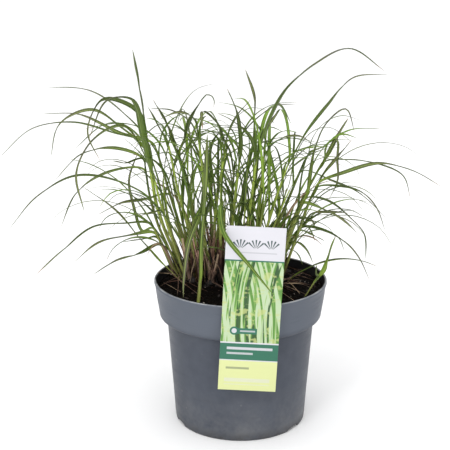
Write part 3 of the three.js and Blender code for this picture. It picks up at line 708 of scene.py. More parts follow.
# %% List the shoots, their leaves and last year's growth
SHOOTS = [
    ((-70, 48), 2.2, [(-93, 46, 209), (-102, 44, 245), (-106, 42, 280)], 1),
    ((-64, 36), 2.6, [(-84, 35, 204), (-94, 33, 238), (-102, 30, 300)], 1),
    ((-62, 22), 2.4, [(-78, 20, 208), (-88, 17, 242), (-95, 14, 275)], 2),
    ((-74, 28), 1.8, [(-86, 26, 187), (-96, 24, 211)], 0),
    ((-52, 40), 2.4, [(-68, 38, 211), (-78, 36, 247), (-92, 33, 298)], 2),
    ((-46, 26), 2.4, [(-60, 24, 221), (-69, 22, 256), (-78, 19, 306)], 3),
    ((-40, 44), 2.4, [(-52, 44, 221), (-58, 43, 260), (-68, 42, 291)], 3),
    ((-34, 18), 2.4, [(-41, 16, 218), (-40, 14, 263), (-45, 12, 314)], 3),
    ((-45, -58), 2.6, [(-41, -56, 200), (-39, -52, 247)], 0),
    ((-26, 34), 2.4, [(-29, 34, 213), (-24, 34, 259), (-16, 34, 296)], 4),
    ((-22, 8), 2.4, [(-22, 6, 217), (-21, 4, 260), (-19, 2, 294)], 4),
    ((-12, 24), 2.4, [(-9, 24, 215), (-5, 24, 255), (-1, 24, 289)], 4),
    ((-6, 42), 2.2, [(0, 42, 214), (5, 42, 251), (11, 43, 291)], 3),
    ((2, 12), 2.4, [(8, 10, 219), (13, 8, 259), (17, 6, 295)], 3),
    ((10, 32), 2.4, [(19, 32, 213), (23, 32, 253), (26, 32, 293)], 4),
    ((20, 18), 2.2, [(30, 16, 218), (41, 13, 256), (51, 10, 287)], 4),
    ((26, 40), 2.4, [(42, 42, 210), (56, 45, 244), (72, 48, 284)], 3),
    ((34, 26), 2.4, [(54, 25, 207), (65, 23, 239), (89, 20, 287)], 2),
    ((38, 8), 2.2, [(55, 6, 212), (62, 5, 231), (68, 3, 249)], 2),
    ((46, 16), 2.2, [(64, 14, 211), (73, 12, 241), (81, 9, 261)], 1),
    ((42, 38), 1.8, [(59, 39, 194), (68, 41, 207)], 0),
    ((70, -38), 1.4, [(77, -37, 167), (82, -36, 174)], 0),
    ((-66, 8), 1.3, [(-75, 8, 164), (-82, 9, 172)], 0),
    ((-30, 54), 2.3, [(-33, 62, 215), (-36, 72, 270)], 5),
    ((-12, 58), 2.3, [(-10, 66, 215), (-6, 78, 275)], 5),
    ((10, 54), 2.3, [(14, 63, 215), (20, 75, 270)], 5),
    ((-54, 56), 2.3, [(-66, 64, 210), (-76, 72, 255)], 4),
    ((30, 56), 2.2, [(42, 64, 205), (54, 73, 245)], 4),
    ((16, -2), 2.2, [(20, -7, 210), (24, -13, 250)], 4),
    ((-44, 6), 2.2, [(-50, 1, 210), (-54, -5, 255)], 3),
]
OUTER_LEAVES = [
    (1, 1.00, 2.5, [(-140, 60, 295), (-180, 75, 285), (-215, 95, 250)]),
    (1, 1.00, 3.0, [(-125, 25, 285), (-140, 10, 290)]),
    (1, 0.90, 2.5, [(-150, 70, 265), (-190, 95, 235), (-215, 120, 185)]),
    (1, 0.65, 4.0, [(-140, 50, 260), (-185, 50, 265), (-230, 55, 240), (-265, 60, 200)]),
    (2, 1.00, 4.5, [(-105, 25, 340), (-110, 25, 375), (-115, 20, 410)]),
    (2, 1.00, 2.5, [(-140, 45, 315), (-185, 55, 325), (-235, 70, 315), (-275, 80, 280)]),
    (2, 0.95, 3.5, [(-130, 25, 325), (-160, 20, 345), (-195, 15, 330), (-205, 10, 295)]),
    (2, 0.90, 3.5, [(-110, 10, 345), (-145, -5, 360), (-160, -20, 330), (-145, -40, 300)]),
    (2, 0.85, 3.5, [(-125, 5, 330), (-155, -20, 320), (-170, -45, 290), (-160, -70, 255)]),
    (3, 1.00, 5.5, [(-105, 5, 320), (-115, -5, 360), (-140, -10, 360), (-160, -20, 320)]),
    (3, 0.60, 2.0, [(-95, 5, 235), (-110, -10, 235)]),
    (4, 1.00, 3.5, [(-125, 15, 220), (-160, 0, 220), (-190, -15, 200), (-220, -30, 175)]),
    (4, 0.80, 3.0, [(-125, 35, 200), (-160, 40, 190), (-190, 45, 165)]),
    (4, 0.70, 3.0, [(-110, 20, 200), (-130, 10, 200)]),
    (4, 0.90, 2.0, [(-110, 35, 205), (-120, 45, 230), (-125, 50, 260), (-115, 60, 290)]),
    (4, 0.55, 3.5, [(-110, 0, 190), (-135, -30, 190), (-155, -60, 185)]),
    (5, 1.00, 2.5, [(-135, 70, 310), (-185, 105, 325), (-235, 140, 320)]),
    (5, 0.95, 2.5, [(-125, 60, 330), (-170, 90, 355), (-225, 120, 355)]),
    (5, 0.60, 3.0, [(-105, 25, 245), (-130, 10, 245), (-155, 0, 235)]),
    (6, 1.00, 3.5, [(-90, 15, 330), (-100, 10, 350)]),
    (7, 1.00, 4.5, [(-80, 35, 325), (-95, 30, 355)]),
    (7, 0.95, 4.0, [(-60, 25, 315), (-55, 5, 335), (-45, -10, 355), (-40, -30, 365)]),
    (8, 1.00, 3.0, [(-50, -5, 340), (-65, -25, 350), (-85, -40, 345)]),
    (8, 0.95, 3.0, [(-55, 30, 330), (-75, 45, 340), (-100, 60, 340)]),
    (8, 0.50, 4.0, [(-45, -15, 235), (-55, -50, 215), (-60, -72, 180), (-60, -78, 166)]),
    (9, 0.20, 8.0, [(-42, -60, 215), (-38, -55, 260), (-36, -50, 300), (-35, -45, 332)]),
    (10, 1.00, 5.0, [(-20, 15, 315), (-25, -5, 335), (-40, -20, 350), (-40, -40, 335)]),
    (11, 1.00, 2.5, [(-15, -10, 320), (-5, -20, 345), (10, -30, 365)]),
    (11, 0.55, 4.5, [(-22, -50, 255), (-16, -102, 240), (8, -112, 212), (32, -112, 182)]),
    (12, 1.00, 3.0, [(0, 20, 315), (-5, 15, 345), (-15, 10, 370)]),
    (12, 0.95, 2.5, [(0, 40, 310), (20, 60, 330), (40, 75, 340), (65, 90, 340)]),
    (13, 1.00, 3.5, [(15, 45, 325), (15, 50, 355), (5, 50, 385)]),
    (14, 1.00, 4.0, [(30, 10, 335), (50, 15, 370), (80, 20, 395), (115, 25, 410), (155, 30, 385)]),
    (14, 0.95, 2.5, [(10, -5, 320), (-10, -15, 340), (-25, -30, 350)]),
    (15, 1.00, 3.5, [(30, 45, 320), (45, 60, 340)]),
    (15, 0.95, 2.5, [(40, 5, 315), (60, -25, 325), (75, -50, 320)]),
    (16, 1.00, 2.5, [(70, 0, 325), (90, -10, 355), (115, -20, 385), (150, -30, 390)]),
    (17, 1.00, 2.5, [(90, 40, 300), (105, 30, 310), (105, 20, 290), (105, 10, 270), (95, 0, 250)]),
    (17, 0.85, 2.0, [(105, 70, 255), (140, 90, 235), (175, 110, 200)]),
    (18, 1.00, 3.5, [(105, 35, 310), (120, 50, 330)]),
    (18, 0.95, 2.5, [(120, 45, 285), (155, 70, 275), (190, 95, 255), (205, 120, 220)]),
    (19, 1.00, 4.0, [(75, 0, 280), (80, 0, 310), (90, -5, 335), (110, -5, 350), (120, -10, 325)]),
    (19, 0.95, 2.5, [(95, 20, 245), (120, 30, 225), (140, 45, 200), (145, 60, 165)]),
    (19, 0.90, 2.5, [(85, -15, 245), (105, -40, 240), (120, -60, 230)]),
    (19, 0.70, 2.0, [(75, -5, 230), (80, -20, 225)]),
    (20, 1.00, 3.0, [(110, 20, 275), (150, 25, 285), (190, 35, 275), (225, 40, 255)]),
    (20, 0.95, 2.5, [(105, -5, 265), (130, -20, 260), (145, -35, 245), (155, -50, 220)]),
    (20, 0.90, 3.5, [(90, 0, 275), (105, -15, 295), (120, -30, 315)]),
    (20, 0.85, 2.5, [(85, -20, 265), (85, -50, 260), (85, -80, 255)]),
    (21, 1.00, 3.0, [(80, 35, 225), (100, 25, 230), (120, 20, 230)]),
    (21, 0.90, 3.0, [(90, 25, 210), (115, 10, 200), (130, -5, 185), (140, -20, 165)]),
    (21, 0.80, 2.5, [(80, 60, 195), (100, 80, 180)]),
    (22, 1.00, 3.5, [(90, -35, 185), (95, -35, 205), (100, -35, 220)]),
    (22, 0.80, 2.0, [(80, -42, 180), (80, -42, 190)]),
    (23, 1.00, 2.0, [(-110, 5, 205), (-135, -5, 240), (-170, -15, 270)]),
]
ROOTSTOCKS = [
    ((-54, 10), 4, [190, 215]),
    ((-33, 0), 4, [-60]),
    ((-12, -6), 4, [-100]),
    ((-36, 32), 3, []),
    ((32, -6), 3, [-50, -20, 5, 20]),
    ((-22, 20), 4, []),
    ((-8, 10), 3, []),
    ((-2, 31), 3, []),
]
print(len(SHOOTS), "shoots and", len(OUTER_LEAVES), "outer leaves")

# %% [markdown]
# ## The line of every stem and leaf
#
# A stem follows straight lines between its places. A leaf starts inside its stem, follows it
# for a little, and bends away through its own places. The inner leaves come from draws. A leaf
# that touched a neighbour was drawn again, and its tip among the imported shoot's points shows
# which draw it kept. A leaf that found no room has no tip there, and is left out here too.

# %% Find each leaf
SOIL_LEVEL = 155
FOOT_DEPTH = 22
LEAF_ROOT = 7
LEAF_STANDOFF = 0.8
ATTEMPTS = 24
OUTER_SHIFT = 6
OUTER_TURN = 65
INNER_TOP = 352


def leaning(lean, heading):
    """The direction that leans from upright towards a heading, both in radians."""
    return np.array((math.sin(lean) * math.cos(heading), math.sin(lean) * math.sin(heading), math.cos(lean)))


def stem_places(number):
    at, _, stem, _ = SHOOTS[number]
    return np.array([(*at, SOIL_LEVEL), *stem], float)


def along_stem(places, distance):
    """The place this far up a stem, and past its top on its last piece."""
    steps = np.linalg.norm(np.diff(places, axis=0), axis=1)
    piece = 0
    while piece < len(steps) - 1 and distance > steps[piece]:
        distance -= steps[piece]
        piece += 1
    return places[piece] + (places[piece + 1] - places[piece]) * (distance / steps[piece])


def leaf_line(number, along, places):
    stem = stem_places(number)
    distance = along * measured(stem)[-1]
    root = along_stem(stem, distance - LEAF_ROOT)
    leaving = along_stem(stem, distance + LEAF_ROOT)
    outward = unit((places[0] - leaving) * (1, 1, 0))
    leaving = leaving + outward * (0.5 * SHOOTS[number][1] + LEAF_STANDOFF)
    return curve_through([root, leaving, *places])


def bent_places(place, length, start_lean, end_lean, heading, pieces=4, late=1.5):
    """Places along a blade that leans further and further over towards its tip."""
    places = []
    for piece in range(pieces):
        share = ((piece + 0.5) / pieces) ** late
        lean = math.radians(start_lean + (end_lean - start_lean) * share)
        place = place + leaning(lean, heading) * (length / pieces)
        places.append(place)
    return places


def inner_leaf(number, leaf, attempt):
    """The line, width and turn of an inner leaf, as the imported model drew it."""
    draw = draws(number * 7919 + leaf * 104729 + attempt * 15485863)
    stem = stem_places(number)
    heading = math.radians(137.5 * (3 * number + leaf) + draw(-25, 25))
    front, back = max(0, -math.sin(heading)), max(0, math.sin(heading))
    start_lean = draw(6, 20)
    end_lean = draw(60, 125) - 40 * front + 20 * back
    along = 0.45 + 0.55 * leaf / max(1, SHOOTS[number][3] - 1) - draw(0, 0.08)
    width, turn = draw(2.2, 4.5), draw(-60, 60)
    place = along_stem(stem, along * measured(stem)[-1] + LEAF_ROOT)
    length = (INNER_TOP - place[2]) * draw(0.95, 1.45) * (1 - 0.2 * front + 0.2 * back)
    places = bent_places(place, length, start_lean, end_lean, heading)
    return leaf_line(number, along, places), width, turn


def outer_leaf(leaf, attempt):
    """An outer leaf as listed, or moved nearer or further by a few millimetres at its tip."""
    number, along, width, places = OUTER_LEAVES[leaf]
    places = np.array(places, float)
    shift = OUTER_SHIFT * math.ceil(attempt / 2) * (1 if attempt % 2 else -1)
    places[:, 1] += shift * np.arange(1, len(places) + 1) / len(places)
    return leaf_line(number - 1, along, places), width, OUTER_TURN if leaf % 2 else -OUTER_TURN


def kept(points, tries, near=0.1):
    """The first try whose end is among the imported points, or None."""
    for attempt in range(ATTEMPTS):
        found = tries(attempt)
        end = found[0][-1]
        if np.min(np.linalg.norm(points - end, axis=1)) < near:
            return found
    return None


leaves = {number: [] for number in range(len(SHOOTS))}
for number, shoot in enumerate(SHOOTS):
    points = read_points(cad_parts[f"shoot_{number + 1:02d}"].data)
    tries = [lambda attempt, leaf=leaf: outer_leaf(leaf, attempt)
             for leaf, row in enumerate(OUTER_LEAVES) if row[0] == number + 1]
    tries += [lambda attempt, leaf=leaf: inner_leaf(number, leaf, attempt) for leaf in range(shoot[3])]
    leaves[number] = [found for found in (kept(points, draw_leaf) for draw_leaf in tries) if found]
planned = len(OUTER_LEAVES) + sum(shoot[3] for shoot in SHOOTS)
print("Leaves found:", sum(len(found) for found in leaves.values()), "of", planned)

# %% [markdown]
# ## The looks of living and dry grass
#
# A blade's colour follows the blade: fine veins run along it, the midrib is pale, the underside
# is greyer and painted darker as painted shade, and its tip is the first part to dry. So every copy
# carries two attributes of its own. "grain" says where a point is across and along its leaf, with how
# grey the leaf turns towards its tip between the two. "tone" holds the leaf's drawn shade, partly its
# own tone and partly painted light and shade, how dry it is there and whether it is the underside.
# Stems change with height instead, from reddish at the compost, darkened there by painted shade, to
# yellow-green and then green.

# %% Make the materials of the plant
DARK_GREEN = (0.010, 0.028, 0.007)
MID_GREEN = (0.135, 0.305, 0.010)
YOUNG_GREEN = (0.33, 0.45, 0.065)
GREYED = (0.068, 0.051, 0.051)
# the underside is greyer, and darker as painted shade
UNDERSIDE_SHADED = (0.065, 0.105, 0.026)
STRAW_PALE = (0.54, 0.41, 0.26)
STRAW_BROWN = (0.11, 0.045, 0.026)
SHEATH_RED = (0.046, 0.012, 0.007)
FOOT_RED = (0.15, 0.055, 0.025)
FOOT_SHADOW = (0.020, 0.006, 0.003)    # painted shade at the foot of a stem deep in the clump
SHEATH_PALE = (0.60, 0.37, 0.26)


def attribute(tree, name):
    """The three parts of a vector that each point of a mesh carries."""
    vector = add_node(tree, "Attribute", attribute_name=name).outputs["Vector"]
    return vector, add_node(tree, "SeparateXYZ", {0: vector}).outputs


def see_through(tree, shader, colour, share):
    """Lets some light through a thin blade, as seen against the light."""
    output = next(node for node in tree.nodes if node.type == "OUTPUT_MATERIAL")
    passing = add_node(tree, "BsdfTranslucent", {"Color": colour}).outputs[0]
    both = add_node(tree, "MixShader", {0: share, 1: shader.outputs[0], 2: passing}).outputs[0]
    tree.links.new(both, output.inputs["Surface"])


def make_blade_material():
    material, tree, shader = new_material("green_blade")
    grain, (across, greyness, along) = attribute(tree, "grain")
    _, (shade, dryness, under) = attribute(tree, "tone")
    patches = effect(tree, "mottle", Place=object_place(tree), Scale=26.0, Fineness=7.0)
    # painted light and shade: each leaf's drawn shade runs from near-black to bright green, partly its own
    # tone and partly lit and shaded leaves
    level = calculate(tree, "ADD", span(tree, shade, -1, 0.7, -0.05, 0.9),
                      span(tree, patches, 0.3, 0.7, -0.1, 0.25))
    green = mix(tree, level, DARK_GREEN, MID_GREEN)
    green = mix(tree, span(tree, shade, 0.5, 1.0, 0.0, 0.6), green, YOUNG_GREEN)
    green = mix(tree, span(tree, along, 0.0, 0.3, 0.75, 0.0), green, YOUNG_GREEN)
    green = mix(tree, calculate(tree, "MULTIPLY", greyness, span(tree, along, 0.12, 0.65)), green, GREYED)
    veins = effect(tree, "streaks", Grain=grain, Lines=4.5, Length=1.5)
    green = mix(tree, span(tree, veins, 0.45, 0.75, 0.0, 0.45), green, YOUNG_GREEN)
    green = mix(tree, span(tree, veins, 0.42, 0.2, 0.0, 0.5), green, DARK_GREEN)
    middle = span(tree, calculate(tree, "ABSOLUTE", across), 0.06, 0.26, 0.6, 0.0)
    green = mix(tree, middle, green, (0.40, 0.52, 0.13))
    # the underside: greyer, and darker as painted shade
    green = mix(tree, calculate(tree, "MULTIPLY", under, 0.6), green, UNDERSIDE_SHADED)
    dry = mix(tree, veins, STRAW_BROWN, STRAW_PALE)
    colour = mix(tree, dryness, green, dry)
    tree.links.new(colour, shader.inputs["Base Color"])
    tree.links.new(span(tree, dryness, 0, 1, 0.42, 0.8), shader.inputs["Roughness"])
    shader.inputs["Specular IOR Level"].default_value = 0.22
    tree.links.new(bump(tree, veins, 0.35, 0.12), shader.inputs["Normal"])
    see_through(tree, shader, colour, 0.15)
    return material


def make_stem_material():
    material, tree, shader = new_material("green_sheath")
    grain, _ = attribute(tree, "grain")
    _, (shade, dryness, ruddy) = attribute(tree, "tone")
    height = add_node(tree, "SeparateXYZ", {0: object_place(tree)}).outputs[2]
    patches = effect(tree, "mottle", Place=object_place(tree), Scale=45.0, Fineness=4.0)
    height = calculate(tree, "ADD", height, span(tree, patches, 0.3, 0.7, -0.012, 0.012))
    base = MM * SOIL_LEVEL
    red = calculate(tree, "MULTIPLY", ruddy, span(tree, height, base + 0.004, base + 0.036, 1, 0))
    young = mix(tree, red, (0.36, 0.38, 0.10), FOOT_RED)
    upper = mix(tree, span(tree, shade, -1, 1), (0.014, 0.036, 0.005), (0.42, 0.56, 0.080))
    colour = mix(tree, span(tree, height, base + 0.030, base + 0.105), young, upper)
    lines = effect(tree, "streaks", Grain=grain, Lines=3.5, Length=2.0)
    colour = mix(tree, span(tree, lines, 0.5, 0.85, 0.0, 0.7), colour, (0.42, 0.53, 0.13))
    colour = mix(tree, span(tree, lines, 0.42, 0.15, 0.0, 0.75), colour, (0.030, 0.055, 0.012))
    # painted shade: a stem's foot darkens towards the compost, more for the ruddy inner stems
    deep = calculate(tree, "MULTIPLY", span(tree, height, base + 0.055, base + 0.008, 0, 0.95),
                     span(tree, ruddy, 0.2, 0.8, 0.3, 1.0))
    colour = mix(tree, deep, colour, FOOT_SHADOW)
    tree.links.new(colour, shader.inputs["Base Color"])
    shader.inputs["Roughness"].default_value = 0.45
    shader.inputs["Specular IOR Level"].default_value = 0.22
    tree.links.new(bump(tree, lines, 0.5, 0.25), shader.inputs["Normal"])
    return material


def make_dry_material(name, dark, pale, foot_shade=0.0):
    material, tree, shader = new_material(name)
    grain, _ = attribute(tree, "grain")
    _, (shade, _, _) = attribute(tree, "tone")
    fibres = effect(tree, "streaks", Grain=grain, Lines=3.0, Length=2.5)
    patches = effect(tree, "mottle", Place=object_place(tree), Scale=60.0, Fineness=5.0)
    # the drawn shade is partly painted light and shade: pale lit pieces and dark shaded ones
    level = calculate(tree, "ADD", span(tree, fibres, 0.35, 0.65, -0.25, 0.45),
                      span(tree, shade, -1, 1, -0.45, 0.75))
    level = calculate(tree, "ADD", level, span(tree, patches, 0.35, 0.65, -0.2, 0.3))
    colour = mix(tree, level, dark, pale)
    height = add_node(tree, "SeparateXYZ", {0: object_place(tree)}).outputs[2]
    # painted shade: near the compost the dry parts darken towards near-black, where shade falls
    foot_shaded = span(tree, height, MM * (SOIL_LEVEL + 38), MM * (SOIL_LEVEL + 7), 0, foot_shade)
    colour = mix(tree, foot_shaded, colour, PEAT_SHADE)
    tree.links.new(colour, shader.inputs["Base Color"])
    shader.inputs["Roughness"].default_value = 0.75
    tree.links.new(bump(tree, fibres, 0.6, 0.3), shader.inputs["Normal"])
    return material


blade_material = make_blade_material()
stem_material = make_stem_material()
sheath_material = make_dry_material("dry_sheath", SHEATH_RED, SHEATH_PALE, foot_shade=0.75)
straw_material = make_dry_material("dry_straw", STRAW_BROWN, STRAW_PALE, foot_shade=0.3)
rot_material = make_dry_material("rotting_foot", (0.004, 0.002, 0.0015), (0.045, 0.020, 0.012))
print("The plant has five materials")

# %% [markdown]
# ## One model of each part
#
# Every blade is the same strip, laid along another line. So one flat blade is modelled, one unit
# long and half as wide as it is across, and thickened; its last row is merged to a point. A
# narrower blade with fewer faces serves for the finest leaves. A stem is a tube of extruded
# rings, a cut stalk is hollow with a swollen joint, and a dry sheath is a strip that will be
# wrapped round a stem.

# %% Model a blade, a stem, a cut stalk and a sheath
def strip_model(name, columns, rows, pointed=True):
    """A strip one unit thick: x from -1 to 1 across, y from 0 to 1 along."""
    bpy.ops.mesh.primitive_grid_add(
        x_subdivisions=columns, y_subdivisions=rows, size=2 * MM, location=(0, MM / 2, 0))
    strip = bpy.context.object
    strip.name = name
    strip.scale.y = 0.5
    bpy.ops.object.transform_apply(location=True, rotation=False, scale=True)
    use_modifier(strip, "SOLIDIFY", thickness=MM, offset=0)
    if pointed:
        bpy.ops.object.mode_set(mode="EDIT")
        bpy.ops.mesh.select_mode(type="VERT")
        bpy.ops.mesh.select_all(action="DESELECT")
        bpy.ops.object.mode_set(mode="OBJECT")
        for vertex in strip.data.vertices:
            vertex.select = vertex.co.y > 0.999 * MM
        bpy.ops.object.mode_set(mode="EDIT")
        bpy.ops.mesh.merge(type="CENTER")
        bpy.ops.object.mode_set(mode="OBJECT")
    return strip


def tube_model(name, sides, rings):
    """A closed round model of unit size, pulled up through its rings."""
    start_disc(rings[0][0], sides)
    pull_rings(rings[1:], rings[0][0], 0)
    return close_edit(name)


STEM_ROWS = 40
STALK_RINGS = [(1, 0), (1, 0.12), (1.02, 0.22), (1.14, 0.27), (1.02, 0.32), (0.98, 0.5), (0.96, 0.7),
               (0.94, 0.9), (0.93, 1), (0.66, 1), (0.6, 0.9), (0.58, 0.75)]
models = {
    "blade": strip_model("blade_model", 4, 48),
    "fine blade": strip_model("fine_blade_model", 2, 20),
    "sheath": strip_model("sheath_model", 12, 6, pointed=False),
    "stem": tube_model("stem_model", 12, [(1, row / STEM_ROWS) for row in range(STEM_ROWS + 1)]),
    "young stem": tube_model("young_stem_model", 7, [(1, row / 16) for row in range(17)]),
    "stalk": tube_model("stalk_model", 10, STALK_RINGS),
}
for name, model in models.items():
    print(name, "model:", len(model.data.polygons), "faces")

# %% [markdown]
# ## Laying the copies
#
# A copy gets its own mesh and new places for its points. At each row of a blade there is a
# centre on the leaf's line, a direction along it, a direction across and one out of its upper
# face. The blade folds to a shallow channel, folds more where it clasps the stem, and turns its
# face as it rises. It swings a few degrees to either side on its way, as real ones do.

# %% Lay blades, stems and sheaths along lines
BLADE_THICKNESS = 0.35
BLADE_SPREAD = 1.2    # how much wider the blades are than their plain solids, which are thicker
SHEATH_THICKNESS = 0.22
STEM_THINNING = 0.5
Y_AXIS = np.array((0.0, 1.0, 0.0))


def put_attribute(mesh, name, values):
    mesh.attributes.new(name, "FLOAT_VECTOR", "POINT").data.foreach_set("vector", np.ravel(values))


def lay(model, points, grain, tone, material):
    """A copy of a model with its own mesh, its points at their new places."""
    mesh = models[model].data.copy()
    write_points(mesh, points)
    put_attribute(mesh, "grain", np.column_stack(grain))
    put_attribute(mesh, "tone", np.column_stack(np.broadcast_arrays(*tone, grain[0])[:3]))
    mesh.materials.clear()
    mesh.materials.append(material)
    copy = bpy.data.objects.new(model, mesh)
    bpy.context.collection.objects.link(copy)
    return copy


def blade_width(width, along, widens):
    """A blade is narrower at its base, widens between two shares and draws in to its tip."""
    grown = np.sin(np.pi / 2 * np.clip((along - widens[0]) / (widens[1] - widens[0]), 0, 1))
    return width * (0.45 + 0.55 * grown) * (1 - along**3.6) ** 0.8


def blade_frames(line, shares, turn, swing, phase):
    """Centre, across and upper directions at each share of a blade's line, and its length."""
    centres, directions, length = along_line(line, shares)
    side = unit(np.cross(UP, line[-1] - line[0]))
    across = []
    for share, direction in zip(shares, directions):
        side = unit(side - direction * side.dot(direction))
        swung = swing * math.sin(2 * math.pi * (1.6 * share + phase))
        angle = math.radians(turn * (1 - share) ** 1.5 + swung)
        across.append(side * math.cos(angle) + np.cross(direction, side) * math.sin(angle))
    return centres, np.array(across), np.cross(directions, across), length


def lay_blade(line, width, turn, draw, model="blade", material=None, shades=(-1, 1), dry_share=0.0,
              grey=0.3, widens=(0, 0.35)):
    """A blade along its line, with a shade, a swing and a dry tip of its own."""
    across, along, deep = read_points(models[model].data).T
    shares, row = np.unique(np.round(along, 5), return_inverse=True)
    centres, side, upper, length = blade_frames(line, shares, turn, draw(12, 35), draw())
    half = BLADE_SPREAD * blade_width(width, shares, widens) / 2
    fold = 0.42 + 0.8 * np.exp(-((shares * length / 14) ** 2))
    thick = np.minimum(BLADE_THICKNESS, 0.1 + 0.35 * half)[row] * (1 - 0.55 * np.abs(across))
    out = across * (half * np.cos(fold))[row]
    rise = (np.abs(across) - 0.5) * (half * np.sin(fold))[row] + deep * thick
    points = centres[row] + side[row] * out[:, None] + upper[row] * rise[:, None]
    dried = 1.0 if draw() < dry_share else 0.0
    tip = np.clip((along - 1 + draw(-0.04, 0.1)) / 0.04, 0, 1)
    shade = draw(*shades)
    tone = (math.copysign(abs(shade) ** 0.6, shade), np.maximum(dried, tip), (deep < 0).astype(float))
    return lay(model, points, (across, 0 * across + grey, along), tone, material or blade_material)


def rounded_line(places, reach=9.0):
    """Straight pieces with their corners rounded."""
    far = measured(places)
    samples = np.linspace(0, far[-1], 200)
    room = np.clip(np.minimum(samples, far[-1] - samples) / reach, 0, 1) * reach
    near = [samples + room * share for share in np.linspace(-1, 1, 9)]
    return np.mean([np.stack([np.interp(s, far, places[:, k]) for k in range(3)], -1) for s in near], axis=0)


def ring_frames(line, shares):
    """Centres along a line with two directions square to it and to each other."""
    centres, directions, length = along_line(line, shares)
    side = np.cross(Y_AXIS, directions)
    side /= np.linalg.norm(side, axis=1)[:, None]
    return centres, side, np.cross(directions, side), length


def lay_round(model, line, radius_at, tone, material):
    """A round model along a line, its radius given by a function of the share."""
    x, y, along = read_points(models[model].data).T
    shares, row = np.unique(np.round(along, 5), return_inverse=True)
    centres, side, front, _ = ring_frames(line, shares)
    radius = radius_at(shares)[row]
    points = centres[row] + side[row] * (x * radius)[:, None] + front[row] * (y * radius)[:, None]
    return lay(model, points, (x, y, along), tone, material)


def lit_or_shaded(draw, most_lit=0.75):
    """Painted light and shade: mostly dark or light, seldom between, so neighbouring stems look lit or
    shaded.
    """
    shade = draw(-1, most_lit)
    return math.copysign(min(1, abs(shade)) ** 0.4, shade)


def lay_sheath(line, radius, low, high, draw, material):
    """A torn dry sheath round a stem, between two distances along its line."""
    across, along, deep = read_points(models["sheath"].data).T
    start, phase, open_angle = draw(0, 6.28), draw(0, 6.28), draw(2.2, 2.9)
    torn = 0.72 + 0.28 * np.sin(3.1 * across + phase) * np.cos(7.3 * across + 2 * phase)
    share = (low + (high - low) * along * torn) / measured(line)[-1]
    centres, side, front, _ = ring_frames(line, np.clip(share, 0, 1))
    angle = start + across * open_angle
    gap = 0.1 + 0.8 * along**3 * draw(0.2, 1) + 0.15 * (across + 1)
    reach = radius + gap + deep * SHEATH_THICKNESS
    points = centres + side * (np.cos(angle) * reach)[:, None] + front * (np.sin(angle) * reach)[:, None]
    tone = (lit_or_shaded(draw), 1.0, (deep < 0) * 1.0)
    return lay("sheath", points, (across, 0 * across, along), tone, material)


print("A blade is up to", BLADE_THICKNESS, "mm thick")

# %% [markdown]
# ## Thirty shoots
#
# Each shoot is its stem, its leaves, the dry sheaths left round its foot, and a few thin young
# stems beside it. Each of those carries one leaf of a kind that fills such a clump: low, rising
# across it, arching right over, or standing up and dropping over at its end. They could be
# scattered as copies of one leaf. Here each is drawn anew until it keeps clear of the label, the
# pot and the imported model's box. All of a shoot grew as one piece, so it is joined to one.

# %% Grow the shoots
NECK_HEIGHT = 9
STEM_SLIM = 0.64             # a main stem leaves room for the young ones that share its sheath
OUTER_SPREAD = 1.2           # the outer leaves are seen on edge, so they are this much wider
INNER_SLIM = (0.62, 0.90)    # inner leaves painted dark, as painted shade, are narrow, and those painted light are broad
YOUNG_STEMS = {  # radius, and how far they stand off and fan out
    "radius": (0.8, 1.3), "foot": (1.9, 4.5), "fan": (1, 18),
}
# For each kind of leaf: how high its young stem reaches, where on that it leaves, its length, bend,
# width, shades, chance to be dry and greyness, how late it bends, and how far it strays.
LOW = {  # short leaves low in the clump, painted dark as painted shade
    "height": (0.25, 0.5), "along": (0.6, 1.0), "length": (60, 120),
    "bend": (50, 150), "width": (2.3, 3.6),
    "shades": (-1.0, 0.1), "dry": 0.04, "grey": 0.35, "late": 1.5, "stray": 2.6,
}
FILL = {  # leaves that cross the clump
    "height": (0.35, 0.7), "along": (0.6, 1.0), "length": (85, 160),
    "bend": (30, 110), "width": (2.3, 3.8),
    "shades": (-0.9, 1.0), "dry": 0.04, "grey": 0.3, "late": 1.5, "stray": 1.2,
}
ARCS = {  # fine leaves that arch right over
    "height": (0.35, 0.85), "along": (0.5, 1.0), "length": (100, 175),
    "bend": (90, 145), "width": (1.3, 2.3),
    "shades": (-1.0, 0.0), "dry": 0.05, "grey": 0.7, "late": 1.5, "stray": 0.8,
}
HOOKS = {  # leaves that stand up and drop over near their tips
    "height": (0.35, 0.7), "along": (0.55, 1.0), "length": (75, 135),
    "bend": (110, 160), "width": (2.2, 3.3),
    "shades": (-1.0, 0.7), "dry": 0.03, "grey": 0.3, "late": 2.6, "stray": 0.8,
}
EXTRA_LEAVES = {"outer": (FILL, ARCS, LOW), "inner": (FILL, HOOKS, ARCS), "small": ()}
OUTER_SHOOTS = (1, 2, 3, 4, 5, 17, 18, 19, 20, 21, 27, 28)
GREEN_TO_THE_FOOT = (9, 22, 23)
CURLED_TIP = (7, 1)
CURL = [(4, 0, 4), (9, 0, 3), (12, 0, -3), (11, 0, -9)]    # from the tip on, in millimetres
MARKED_LEAVES = {  # by shoot and leaf: width, turn, shades, greyness and where the blade widens
    (22, 0): (1.8, 40, (0.5, 1.0), 0.3, (0.0, 0.35)),
    (9, 0): (0.95, 15, (-0.5, -0.2), 0.6, (0.45, 0.75)),
    (11, 1): (1.2, 0, (-0.1, -0.02), 0.2, (0.25, 0.5)),
}
LABEL_TOP = 258
CARD_WIDTH, CARD_HEIGHT = 60, 177    # the label's size and place, to keep leaves off it
CARD_PLACE = (10, 0, 158.75)
CARD_BACK = -95.5
LABEL_CLEAR = 12
POT_CLEAR = 4
ROOT_POINTS = 30    # the first points of an extra leaf, which may lie inside the pot
BOX_MARGIN = 2.0
low_corner, high_corner = (np.array(corner) / MM for corner in cad_box)


